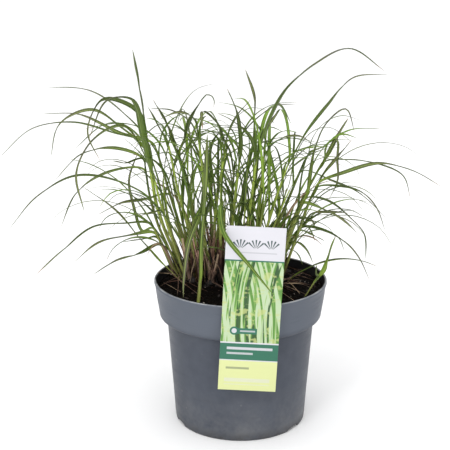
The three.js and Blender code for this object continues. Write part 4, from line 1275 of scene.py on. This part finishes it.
def stem_line(number):
    """The stem's line from its foot in the compost to its top."""
    places = stem_places(number)
    start = unit(places[1] - places[0])
    foot, neck = places[0] - FOOT_DEPTH * start, places[0] + NECK_HEIGHT * start
    return rounded_line(np.array([foot, neck, *places[1:]]))


def stem_radius(number, ends):
    """A stem's radius by share: it thins upwards and steps in where a sheath ends."""
    radius = SHOOTS[number][1]

    def radius_at(shares):
        thin = 1 - STEM_THINNING * np.clip((shares - 0.2) / 0.8, 0, 1)
        steps = sum(0.09 / (1 + np.exp((shares - end) / 0.006)) for end in ends)
        return STEM_SLIM * radius * np.minimum(thin + steps, 1.12)

    return radius_at


def share_near(line, place):
    return np.argmin(np.linalg.norm(line - place, axis=1)) / (len(line) - 1)


def inside_box(points):
    return np.all(points > low_corner + BOX_MARGIN) and np.all(points < high_corner - BOX_MARGIN)


def stays_clear(line):
    """Whether a leaf keeps clear of the label and its front, the pot and the compost."""
    x, y, z = line.T
    beside = np.abs(x - CARD_PLACE[0]) < CARD_WIDTH / 2 + LABEL_CLEAR
    before_label = beside & (y < CARD_BACK + LABEL_CLEAR) & (z < LABEL_TOP)
    over_pot = np.hypot(x, y) < RIM_RADIUS + POT_CLEAR
    in_pot = over_pot & (z < POT_HEIGHT + 3) & (np.arange(len(z)) > ROOT_POINTS)
    low_enough = z.max() < INNER_TOP - 20
    return inside_box(line) and low_enough and not np.any(before_label) and not np.any(in_pot)


def young_stem(number, kind, draw):
    """The line of a thin stem that rises beside a main one and fans out from it."""
    main = stem_line(number)
    main = main[:int(len(main) * draw(*kind["height"]))]
    share = np.linspace(0, 1, len(main))
    for _ in range(ATTEMPTS):
        heading = draw(0, 2 * math.pi)
        away = draw(*YOUNG_STEMS["foot"]) + draw(*YOUNG_STEMS["fan"]) * share**1.5
        line = main + away[:, None] * np.array((math.cos(heading), math.sin(heading), 0))
        if np.hypot(*line[0, :2]) < RIM_RADIUS - 14 and inside_box(line):
            return line
    return None


def extra_leaf(stem, kind, draw):
    """A leaf that grows on along a stem and bends over, drawn again until it stays clear."""
    for _ in range(ATTEMPTS):
        (place,), (rising,), _ = along_line(stem, np.array([draw(*kind["along"])]))
        lean = math.degrees(math.acos(rising[2]))
        if lean < 12:
            heading = draw(0, 2 * math.pi)
        else:
            heading = math.atan2(rising[1], rising[0]) + draw(-1, 1) * kind["stray"]
        leaving = place + rising * LEAF_ROOT + 0.4 * leaning(math.pi / 2, heading)
        end_lean = min(170, lean + draw(*kind["bend"]))
        length, start_lean = draw(*kind["length"]), lean + draw(0, 12)
        places = bent_places(leaving, length, start_lean, end_lean, heading, 6, kind["late"])
        line = curve_through([place - rising * LEAF_ROOT, leaving, *places])
        if stays_clear(line):
            return lay_blade(line, draw(*kind["width"]), draw(-40, 40), draw, "fine blade",
                             shades=kind["shades"], dry_share=kind["dry"], grey=kind["grey"])
    return None


def drooped(line, share):
    """A leaf's line with its last half sunk a little under its own weight."""
    along = measured(line) / measured(line)[-1]
    sunk = (np.clip((along - 0.4) / 0.6, 0, 1) ** 2 * measured(line)[-1] * share)[:, None]
    return line + sunk * (0.6 * unit((line[-1] - line[len(line) // 2]) * (1, 1, 0)) - UP)


def join(pieces, name, slot, *nodes):
    """Joins the parts of one grown piece and puts the whole on the body."""
    bpy.ops.object.select_all(action="DESELECT")
    for piece in pieces:
        piece.select_set(True)
    bpy.context.view_layer.objects.active = pieces[0]
    bpy.ops.object.join()
    whole = bpy.context.object
    whole.name = name
    smooth_by_angle(whole, 50)
    finish_piece(whole, slot, *nodes)
    return whole


def lay_own_leaf(key, leaf, width, turn, draw):
    """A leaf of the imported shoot: one that is marked, an outer one or an inner one."""
    if key == CURLED_TIP:
        leaf = np.concatenate([leaf, curve_through(leaf[-1] + np.array(CURL, float))])
    if key in MARKED_LEAVES:
        spread, turn, shades, grey, widens = MARKED_LEAVES[key]
        return lay_blade(leaf, width * spread, turn, draw, shades=shades, grey=grey, widens=widens)
    if abs(turn) == OUTER_TURN:
        return lay_blade(leaf, width + OUTER_SPREAD, turn, draw, shades=(-1, 0.1), grey=1.0)
    light = draw() < 0.5
    slim, shades = (INNER_SLIM[1], (0, 0.85)) if light else (INNER_SLIM[0], (-1, 0))
    sunk = drooped(leaf, draw(0.06, 0.24))
    leaf = sunk if inside_box(sunk) else leaf
    return lay_blade(leaf, width * slim, turn, draw, shades=shades, grey=0.2)


def lay_extra(number, kind, draw, inside, most_lit):
    """A young stem with a leaf of one kind, each where it finds room."""
    stem = young_stem(number, kind, draw)
    if stem is None:
        return []
    thick = draw(*YOUNG_STEMS["radius"])
    ruddy = draw(0.3, 1) if inside else draw(0, 0.6)
    tone = (lit_or_shaded(draw, most_lit), 0.0, ruddy)
    rising = lay_round("young stem", stem, lambda shares: thick * (1 - 0.35 * shares), tone, stem_material)
    leaf = extra_leaf(stem, kind, draw)
    return [rising, leaf] if leaf else [rising]


def extra_kinds(number):
    """The kinds of extra leaf that a shoot carries, with more low ones right of the middle."""
    (x, _), radius, _, _ = SHOOTS[number]
    if radius < 2 or number + 1 in GREEN_TO_THE_FOOT:
        kinds = EXTRA_LEAVES["small"]
    else:
        kinds = EXTRA_LEAVES["outer" if number + 1 in OUTER_SHOOTS else "inner"]
    return kinds + (LOW,) * (2 if 0 < x < 90 else 1 if -15 < x <= 0 else 0)


def grow_shoot(number):
    draw = draws(5000 + number)
    line = stem_line(number)
    ends = [share_near(line, leaf[0][24]) for leaf in leaves[number]]
    (x, _), radius, _, _ = SHOOTS[number]
    inside = -60 < x < 40
    green_foot = number + 1 in GREEN_TO_THE_FOOT
    # painted light and shade: shoots at the edge of the clump may be drawn lighter, as if lit, inner ones
    # darker, as if shaded
    most_lit = 0.75 if inside else 1.3
    shade = lit_or_shaded(draw, most_lit)
    ruddy = 0.0 if green_foot else draw(0.6, 1) if inside else draw(0.1, 0.5)
    parts = [lay_round("stem", line, stem_radius(number, ends), (shade, 0.0, ruddy), stem_material)]
    for index, (leaf, width, turn) in enumerate(leaves[number]):
        parts.append(lay_own_leaf((number + 1, index), leaf, width, turn, draw))
    for wrap in range(0 if green_foot else 2 if inside else 1):
        top = 22 + draw(18, 60) * (1 if inside else 0.6)
        reach = STEM_SLIM * radius + 0.4 + 0.2 * wrap
        parts.append(lay_sheath(line, reach, 16, top, draw, sheath_material))
    for kind in extra_kinds(number):
        parts += lay_extra(number, kind, draw, inside, most_lit)
    name = f"{number + 1:02d}"
    return join(parts, "grass_shoot_" + name, "grass_leaf", "shoot_" + name)


shoots = [grow_shoot(number) for number in range(len(SHOOTS))]
print("The shoots have", sum(len(shoot.data.polygons) for shoot in shoots), "faces")

# %% [markdown]
# ## Last year's growth
#
# In spring the old stalks are cut back, so hollow tan stubs stand on knobbly rootstock between
# the shoots, wrapped in torn sheaths, with straws that fell on the compost. The stubs and straws
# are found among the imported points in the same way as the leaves.

# %% Make the cut stalks and their straws
ROOTSTOCK_SIZE = (5.5, 5, 6)
ROOTSTOCK_HEIGHT = 154
STUB_SLIM = 0.75
DRY_THREADS = 8    # thin dry leaves that stand round each rootstock


def stub(number, index, attempt):
    """A stub's foot, its top and one corner of its cut end, then its radius."""
    draw = draws(number * 4099 + index * 131 + attempt * 7)
    x, y = ROOTSTOCKS[number][0]
    angle = draw(0, 2 * math.pi)
    base = np.array((x + 2.5 * math.cos(angle), y + 2 * math.sin(angle), ROOTSTOCK_HEIGHT + 2))
    direction = leaning(math.radians(draw(4, 16)), angle)
    top = base + direction * draw(22, 62)
    radius = draw(1.3, 2.2)
    corner = top + unit(np.cross(Y_AXIS, direction)) * radius * 0.85
    return np.array([base, top, corner]), radius


def straw(number, heading, attempt):
    """The line of a straw that lies on the compost, or arches over it a little."""
    draw = draws(number * 977 + (heading + 360) * 13 + attempt * 31)
    x, y = ROOTSTOCKS[number][0]
    length = draw(32, 50)
    angle = math.radians(heading + draw(-8, 8) + 4 * attempt * (1 if attempt % 2 else -1))
    places = []
    for along in (0, 0.35, 0.7, 1):
        place_x, place_y = x + along * length * math.cos(angle), y + along * length * math.sin(angle)
        arch = 5 * math.sin(math.pi * along) * draw()
        places.append((place_x, place_y, soil_level(place_x, place_y) + 2.1 + arch))
    return curve_through(places), 2.2


def make_rootstock(x, y):
    """A knobbly lump under the stalks."""
    middle = (x, y, ROOTSTOCK_HEIGHT)
    bpy.ops.mesh.primitive_ico_sphere_add(subdivisions=4, radius=MM, location=in_metres(middle))
    lump = bpy.context.object
    lump.scale = ROOTSTOCK_SIZE
    bpy.ops.object.transform_apply(location=True, rotation=False, scale=True)
    knobs = bpy.data.textures.get("knobs") or bpy.data.textures.new("knobs", "CLOUDS")
    knobs.noise_scale = 3 * MM
    use_modifier(lump, "DISPLACE", texture=knobs, strength=2.4 * MM, mid_level=0.6)
    points = read_points(lump.data)
    round_it = (points - middle) / ROOTSTOCK_SIZE
    put_attribute(lump.data, "grain", round_it)
    put_attribute(lump.data, "tone", np.full_like(points, (-1, 1, 0)))
    lump.data.materials.append(rot_material)
    return lump


def grow_old_culms(number):
    (x, y), stubs, headings = ROOTSTOCKS[number]
    draw = draws(9000 + number)
    points = read_points(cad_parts[f"dry_culms_{number + 1:02d}"].data)
    parts = [make_rootstock(x, y)]
    for index in range(stubs):
        found = kept(points, lambda attempt: stub(number, index, attempt))
        if found:
            (base, top, _), radius = found
            line = np.linspace(base, top, 30)
            tone = (lit_or_shaded(draw), 1.0, 0.0)
            radius *= STUB_SLIM
            parts.append(lay_round("stalk", line, lambda s: radius + 0 * s, tone, straw_material))
            reach = np.linalg.norm(top - base)
            for wrap in range(1 + (draw() < 0.4)):
                high = reach * draw(0.5, 0.98)
                parts.append(lay_sheath(line, radius + 0.2 * wrap, 0, high, draw, sheath_material))
    for _ in range(DRY_THREADS):
        place = np.array((x + draw(-9, 9), y + draw(-7, 7), ROOTSTOCK_HEIGHT))
        bent = bent_places(place, draw(25, 85), draw(2, 20), draw(15, 70), draw(0, 6.28))
        line = curve_through([place, *bent])
        look = rot_material if draw() < 0.5 else straw_material
        parts.append(lay_blade(line, draw(0.8, 2.0), draw(-60, 60), draw, "fine blade", look))
    for heading in headings:
        found = kept(points, lambda attempt: straw(number, heading, attempt))
        if found:
            width, turn = draw(0.9, 1.5), draw(-40, 40)
            parts.append(lay_blade(found[0], width, turn, draw, "fine blade", straw_material))
    name = f"{number + 1:02d}"
    return join(parts, "old_culms_" + name, "dry_stalk", "dry_culms_" + name)


old_culms = [grow_old_culms(number) for number in range(len(ROOTSTOCKS))]
print("The old culms have", sum(len(piece.data.polygons) for piece in old_culms), "faces")

# %% [markdown]
# ## Litter on the compost
#
# Chips of bark, pale grit and thin root fibres lie in any potting mix, and dry leaves fall on
# it from above. Chips and grit are small flattened spheres, fibres are thin bent tubes, and each
# drops on to the real surface where a ray from above meets it. The fallen straws were placed one
# by one, because a few of them cross in plain sight in front of the stems.

# %% Scatter the bits and lay the fallen straws
LITTER = {  # number, smallest and largest size, and how flat they are
    "chips": (120, (1.2, 4.2), (1, 0.62, 0.28)),
    "grit": (36, (0.5, 1.5), (1, 0.85, 0.6)),
}
FIBRES = 14
STRAW_REST = 1.2    # height of a straw's resting end over the compost
STRAW_SLIM = 0.6
FALLEN_STRAWS = [  # where each one starts and ends, how high its start is propped, and its width
    ((-84, 24), (-40, -48), 10, 1.5), ((-91, -14), (-54, 26), 9, 1.6), ((-68, 14), (-67, -62), 9, 1.4),
    ((-60, -4), (-36, -30), 3, 1.2), ((-86, 4), (-60, -34), 2, 1.0), ((-30, -16), (-4, -52), 6, 1.3),
    ((44, -14), (74, 44), 6, 2.6), ((42, 6), (84, -12), 4, 1.5), ((46, -18), (68, -60), 4, 1.5),
    ((52, -6), (64, -36), 3, 2.2), ((44, 36), (66, 16), 5, 1.3), ((56, 40), (82, 24), 6, 1.2),
    ((40, -30), (60, -64), 3, 1.1), ((58, 12), (88, 6), 8, 1.2), ((46, 60), (72, 48), 3, 1.4),
]


def surface_at(x, y):
    """The compost's real surface under a place, or None outside the pot."""
    hit, place, _, _ = compost.ray_cast(in_metres((x, y, POT_HEIGHT + 40)), (0, 0, -1))
    return place.z / MM if hit else None


def random_place(draw):
    far, angle = (RIM_RADIUS - 7) * math.sqrt(draw()), draw(0, 2 * math.pi)
    return far * math.cos(angle), far * math.sin(angle)


def scatter_bits(name, seed, material):
    """Small flattened lumps, each turned its own way and sunk a little."""
    count, sizes, flatness = LITTER[name]
    draw = draws(seed)
    shape = read_points(models["bit"].data)
    bits = []
    for _ in range(count):
        x, y = random_place(draw)
        size = draw(*sizes) * np.array(flatness) * (1, draw(0.5, 1), 1)
        turned = np.array(Euler((draw(-0.6, 0.6), draw(-0.6, 0.6), draw(0, 6.28))).to_matrix())
        points = (shape * size) @ turned.T + (x, y, surface_at(x, y) + 0.3 * size[2])
        bits.append(lay("bit", points, tuple(shape.T), (draw(-1, 1), 1.0, 0.0), material))
    return join(bits, name, "compost")


def scatter_fibres(seed):
    """Fine roots and fibres that lie in small arcs."""
    draw = draws(seed)
    fibres = []
    for _ in range(FIBRES):
        x, y = random_place(draw)
        heading, length, turn = draw(0, 6.28), draw(6, 18), draw(-1.4, 1.4)
        places = []
        for share in (0, 0.33, 0.66, 1):
            place = np.array((x, y)) + share * length * np.array(
                (math.cos(heading + turn * share), math.sin(heading + turn * share)))
            place *= min(1, (RIM_RADIUS - 6) / np.hypot(*place))
            places.append((*place, surface_at(*place) + draw(0, 1.2)))
        radius = draw(0.09, 0.2)
        line = curve_through(places, 6)
        tone = (draw(-1, 1), 1.0, 0.0)
        fibres.append(lay_round("fibre", line, lambda s: radius + 0 * s, tone, rot_material))
    return join(fibres, "root_fibres", "compost")


def lay_fallen_straws(seed):
    draw = draws(seed)
    straws = []
    for start, end, propped, width in FALLEN_STRAWS:
        places = []
        for share in (0, 0.3, 0.65, 1):
            x, y = np.array(start) * (1 - share) + np.array(end) * share + (draw(-0.5, 0.5), draw(-0.5, 0.5))
            surface = surface_at(x, y) if np.hypot(x, y) < RIM_RADIUS - 5 else POT_HEIGHT
            places.append((x, y, surface + STRAW_REST + propped * (1 - share) ** 1.5))
        places = np.array(places)
        chord = places[0] + (places[-1] - places[0]) * np.array([[0], [0.3], [0.65], [1]])
        places[:, 2] = np.maximum(chord[:, 2], 0.7 * chord[:, 2] + 0.3 * places[:, 2])
        line, turn = curve_through(places), draw(-40, 40)
        straws.append(lay_blade(line, STRAW_SLIM * width, turn, draw, "fine blade", straw_material))
    return join(straws, "fallen_straws", "dry_stalk")


chip_material = make_dry_material("bark_chip", (0.003, 0.0015, 0.001), (0.030, 0.012, 0.007))
grit_material = make_dry_material("pale_grit", (0.22, 0.18, 0.14), (0.55, 0.50, 0.44))
bpy.ops.mesh.primitive_ico_sphere_add(subdivisions=1, radius=MM)
models["bit"] = bpy.context.object
models["fibre"] = tube_model("fibre_model", 5, [(1, row / 6) for row in range(7)])
litter = [scatter_bits("chips", 21, chip_material), scatter_bits("grit", 22, grit_material),
          scatter_fibres(23), lay_fallen_straws(24)]
print("The litter has", sum(len(piece.data.polygons) for piece in litter), "faces")

# %% [markdown]
# ## The label's print
#
# The card is printed on a press, so its colours have sharp borders: a white head with a row of
# tufts over a fine line, a picture of striped and banded leaves with a small teal tab, a dark
# green band with two white bars, and a yellow-green foot with faint bars. An image could be laid
# on it, but areas of plain ink are quickly drawn with nodes. The print is laid out in millimetres
# on the card itself, which carries the place of each point as "print": across from its middle,
# then 1 on the front, then the height from its foot.

# %% Make the label's material
PANEL_TOP = 33
BAND = (34, 52)
PICTURE = (53.5, 140.5)
HEAD_LINE = 142
INK_WHITE = (0.565, 0.56, 0.60)
INK_TEAL = (0.017, 0.126, 0.074)
INK_YELLOW = (0.585, 0.625, 0.29)
INK_GREY = (0.045, 0.075, 0.075)
LEAF_INKS = [(0.022, 0.075, 0.016), (0.085, 0.225, 0.035), (0.22, 0.38, 0.10), (0.42, 0.53, 0.33)]
LEAF_BAND = (0.44, 0.49, 0.18)


def product(tree, *values):
    result = values[0]
    for value in values[1:]:
        result = calculate(tree, "MULTIPLY", result, value)
    return result


def between(tree, value, low, high, soft=0.12):
    """1 where the value lies between two borders, and 0 outside."""
    above = span(tree, value, low - soft, low + soft)
    return product(tree, above, span(tree, value, high - soft, high + soft, 1, 0))


def striped_leaves(tree, across, height):
    """A picture of leaves: a far layer leaning one way and a near layer leaning the other."""
    colour = None
    for lean, bend, lines, inks, cover in ((-0.22, 0.0020, 0.20, LEAF_INKS[1:], 1.0),
                                           (0.34, -0.0020, 0.17, LEAF_INKS, 0.50)):
        curved = product(tree, height, height, bend)
        slanted = calculate(tree, "ADD", calculate(tree, "ADD", across, product(tree, height, lean)), curved)
        stretched = {0: slanted, 1: lean * 40, 2: product(tree, height, 0.01)}
        grain = add_node(tree, "CombineXYZ", stretched).outputs[0]
        value = effect(tree, "streaks", Grain=grain, Lines=lines, Length=1.0)
        layer = mix(tree, span(tree, value, 0.36, 0.46), inks[0], inks[1])
        layer = mix(tree, span(tree, value, 0.48, 0.54), layer, inks[2])
        if len(inks) > 3:
            layer = mix(tree, span(tree, value, 0.57, 0.62), layer, inks[3])
        flattened = {0: product(tree, slanted, 0.07), 2: product(tree, height, 0.10)}
        flattened = add_node(tree, "CombineXYZ", flattened).outputs[0]
        bands = effect(tree, "mottle", Place=flattened, Scale=1.0, Fineness=3.0)
        layer = mix(tree, span(tree, bands, 0.58, 0.74, 0.0, 0.7), layer, LEAF_BAND)
        if colour is None:
            colour = layer
        else:
            edge = effect(tree, "streaks", Grain=scaled(tree, grain, 0.7), Lines=lines, Length=1.0)
            colour = mix(tree, span(tree, edge, cover - 0.02, cover + 0.02), colour, layer)
    return colour


def tufts(tree, across, height, centres, foot):
    """A row of small fans of strokes, as a mark for ornamental grasses."""
    mark = 0.0
    for centre in centres:
        x = calculate(tree, "SUBTRACT", across, centre)
        z = calculate(tree, "SUBTRACT", height, foot)
        angle = calculate(tree, "ARCTAN2", x, z)
        far = calculate(tree, "SQRT", calculate(tree, "ADD", product(tree, x, x), product(tree, z, z)))
        strokes = span(tree, calculate(tree, "COSINE", product(tree, angle, 16.0)), 0.1, 0.3)
        fan = product(tree, strokes, between(tree, angle, -1.0, 1.0, 0.02), between(tree, far, 2.0, 10.5))
        mark = calculate(tree, "ADD", fan, mark)
    return mark


def make_label_material():
    material, tree, shader = new_material("printed_card")
    _, (across, front, height) = attribute(tree, "print")

    def bar(left, right, low, high):
        return product(tree, between(tree, across, left, right), between(tree, height, low, high))

    def from_level(level, below, above):
        return mix(tree, span(tree, height, level - 0.08, level + 0.08), below, above)

    colour = mix(tree, product(tree, bar(-23, 1, 23.6, 26.0), 0.55), INK_YELLOW, INK_GREY)
    colour = mix(tree, product(tree, bar(-24, 23, 9.5, 13.5), 0.45), colour, INK_WHITE)
    colour = mix(tree, product(tree, bar(-24, 23, 6.2, 7.0), 0.45), colour, INK_WHITE)
    colour = from_level(PANEL_TOP, colour, INK_WHITE)
    band = mix(tree, product(tree, bar(-23, 24, 45.2, 48), 0.85), INK_TEAL, INK_WHITE)
    band = mix(tree, product(tree, bar(-23, 4, 40.0, 42.2), 0.7), band, INK_WHITE)
    colour = from_level(BAND[0], colour, band)
    colour = from_level(BAND[1], colour, INK_WHITE)
    picture = striped_leaves(tree, across, height)
    picture = mix(tree, bar(-17, 7, 62.6, 68.8), picture, INK_TEAL)
    picture = mix(tree, product(tree, bar(-10.5, 5, 64.8, 66.6), 0.6), picture, INK_WHITE)
    x, z = calculate(tree, "SUBTRACT", across, -16.5), calculate(tree, "SUBTRACT", height, 65.8)
    disc = calculate(tree, "SQRT", calculate(tree, "ADD", product(tree, x, x), product(tree, z, z)))
    picture = mix(tree, span(tree, disc, 4.4, 4.7, 1, 0), picture, INK_TEAL)
    picture = mix(tree, span(tree, disc, 2.5, 2.8, 0.9, 0), picture, INK_WHITE)
    colour = from_level(PICTURE[0], colour, picture)
    colour = from_level(PICTURE[1], colour, INK_TEAL)
    head = mix(tree, tufts(tree, across, height, (-15, 0.5, 16), 153), INK_WHITE, INK_GREY)
    head = mix(tree, product(tree, bar(-14, 22, 149.2, 150.4), 0.25), head, INK_GREY)
    colour = from_level(HEAD_LINE, colour, head)
    colour = mix(tree, span(tree, front, 0.4, 0.6), INK_WHITE, colour)
    tree.links.new(colour, shader.inputs["Base Color"])
    shader.inputs["Roughness"].default_value = 0.33
    handled = effect(tree, "mottle", Place=object_place(tree), Scale=30.0, Fineness=6.0)
    tree.links.new(bump(tree, handled, 0.15, 0.2), shader.inputs["Normal"])
    return material


label_material = make_label_material()

# %% [markdown]
# ## The plant label
#
# The label is one stiff plastic card. It hangs in front of the pot from a tongue that bends
# over the rim and reaches down between the pot and the compost. The card is a flat box with
# its edges rounded a little, the tongue a strip that is pulled over the rim and thickened, and
# both are tilted together by three degrees, as the card hangs in the photo.

# %% Model the label
CARD_THICKNESS = 0.9
CARD_TILT = 3
TONGUE_WIDTH = 20
TONGUE_X = -10
TONGUE_THICKNESS = 0.8
TONGUE_LINE = [(-95.9, 162.85), (-90.6, 162.85), (-89.75, 162.2), (-89.4, 160), (-86.2, 128.8)]

middle = (0, CARD_BACK - CARD_THICKNESS / 2, 0)
bpy.ops.mesh.primitive_cube_add(size=MM, location=in_metres(middle))
card = bpy.context.object
card.scale = (CARD_WIDTH, CARD_THICKNESS, CARD_HEIGHT)
bpy.ops.object.transform_apply(location=True, rotation=False, scale=True)
use_modifier(card, "BEVEL", width=0.2 * MM, segments=2)

(card_y, top), (rim_y, _) = TONGUE_LINE[:2]
bpy.ops.mesh.primitive_plane_add(
    size=MM, location=in_metres((TONGUE_X, (card_y + rim_y) / 2, top - CARD_PLACE[2])))
tongue = bpy.context.object
tongue.scale = (TONGUE_WIDTH, rim_y - card_y, 1)
bpy.ops.object.transform_apply(location=True, rotation=False, scale=True)
bpy.ops.object.mode_set(mode="EDIT")
bpy.ops.mesh.select_mode(type="EDGE")
bpy.ops.mesh.select_all(action="DESELECT")
bpy.ops.object.mode_set(mode="OBJECT")
corners = tongue.data.vertices
max(tongue.data.edges, key=lambda edge: sum(corners[end].co.y for end in edge.vertices)).select = True
bpy.ops.object.mode_set(mode="EDIT")
for (y, z), (next_y, next_z) in zip(TONGUE_LINE[1:], TONGUE_LINE[2:]):
    step = {"value": in_metres((0, next_y - y, next_z - z))}
    bpy.ops.mesh.extrude_edges_move(TRANSFORM_OT_translate=step)
tongue = close_edit("tongue")
use_modifier(tongue, "SOLIDIFY", thickness=TONGUE_THICKNESS * MM, offset=0)
print("The tongue has", len(tongue.data.polygons), "faces")

bpy.ops.object.select_all(action="DESELECT")
card.select_set(True)
tongue.select_set(True)
bpy.context.view_layer.objects.active = card
bpy.ops.object.join()
card.name = "plant_label"
points = read_points(card.data)
on_front = points[:, 1] < CARD_BACK - CARD_THICKNESS / 2
put_attribute(card.data, "print", np.column_stack((points[:, 0], on_front, points[:, 2] + CARD_HEIGHT / 2)))
card.rotation_euler = (0, math.radians(CARD_TILT), 0)
card.location = in_metres(CARD_PLACE)
bpy.ops.object.transform_apply(location=True, rotation=True, scale=False)
card.data.materials.append(label_material)
smooth_by_angle(card, 30)
finish_piece(card, "label_card", "label")
print("The label has", len(card.data.polygons), "faces")

# %% [markdown]
# ## Removing the models
#
# The models that all copies were made from aren't part of the plant, so they are removed. The
# finished object has to be as large as the imported one. Every piece already rides on its body
# and hides the plain piece that it replaces.

# %% Remove the models
for model in models.values():
    bpy.data.objects.remove(model)
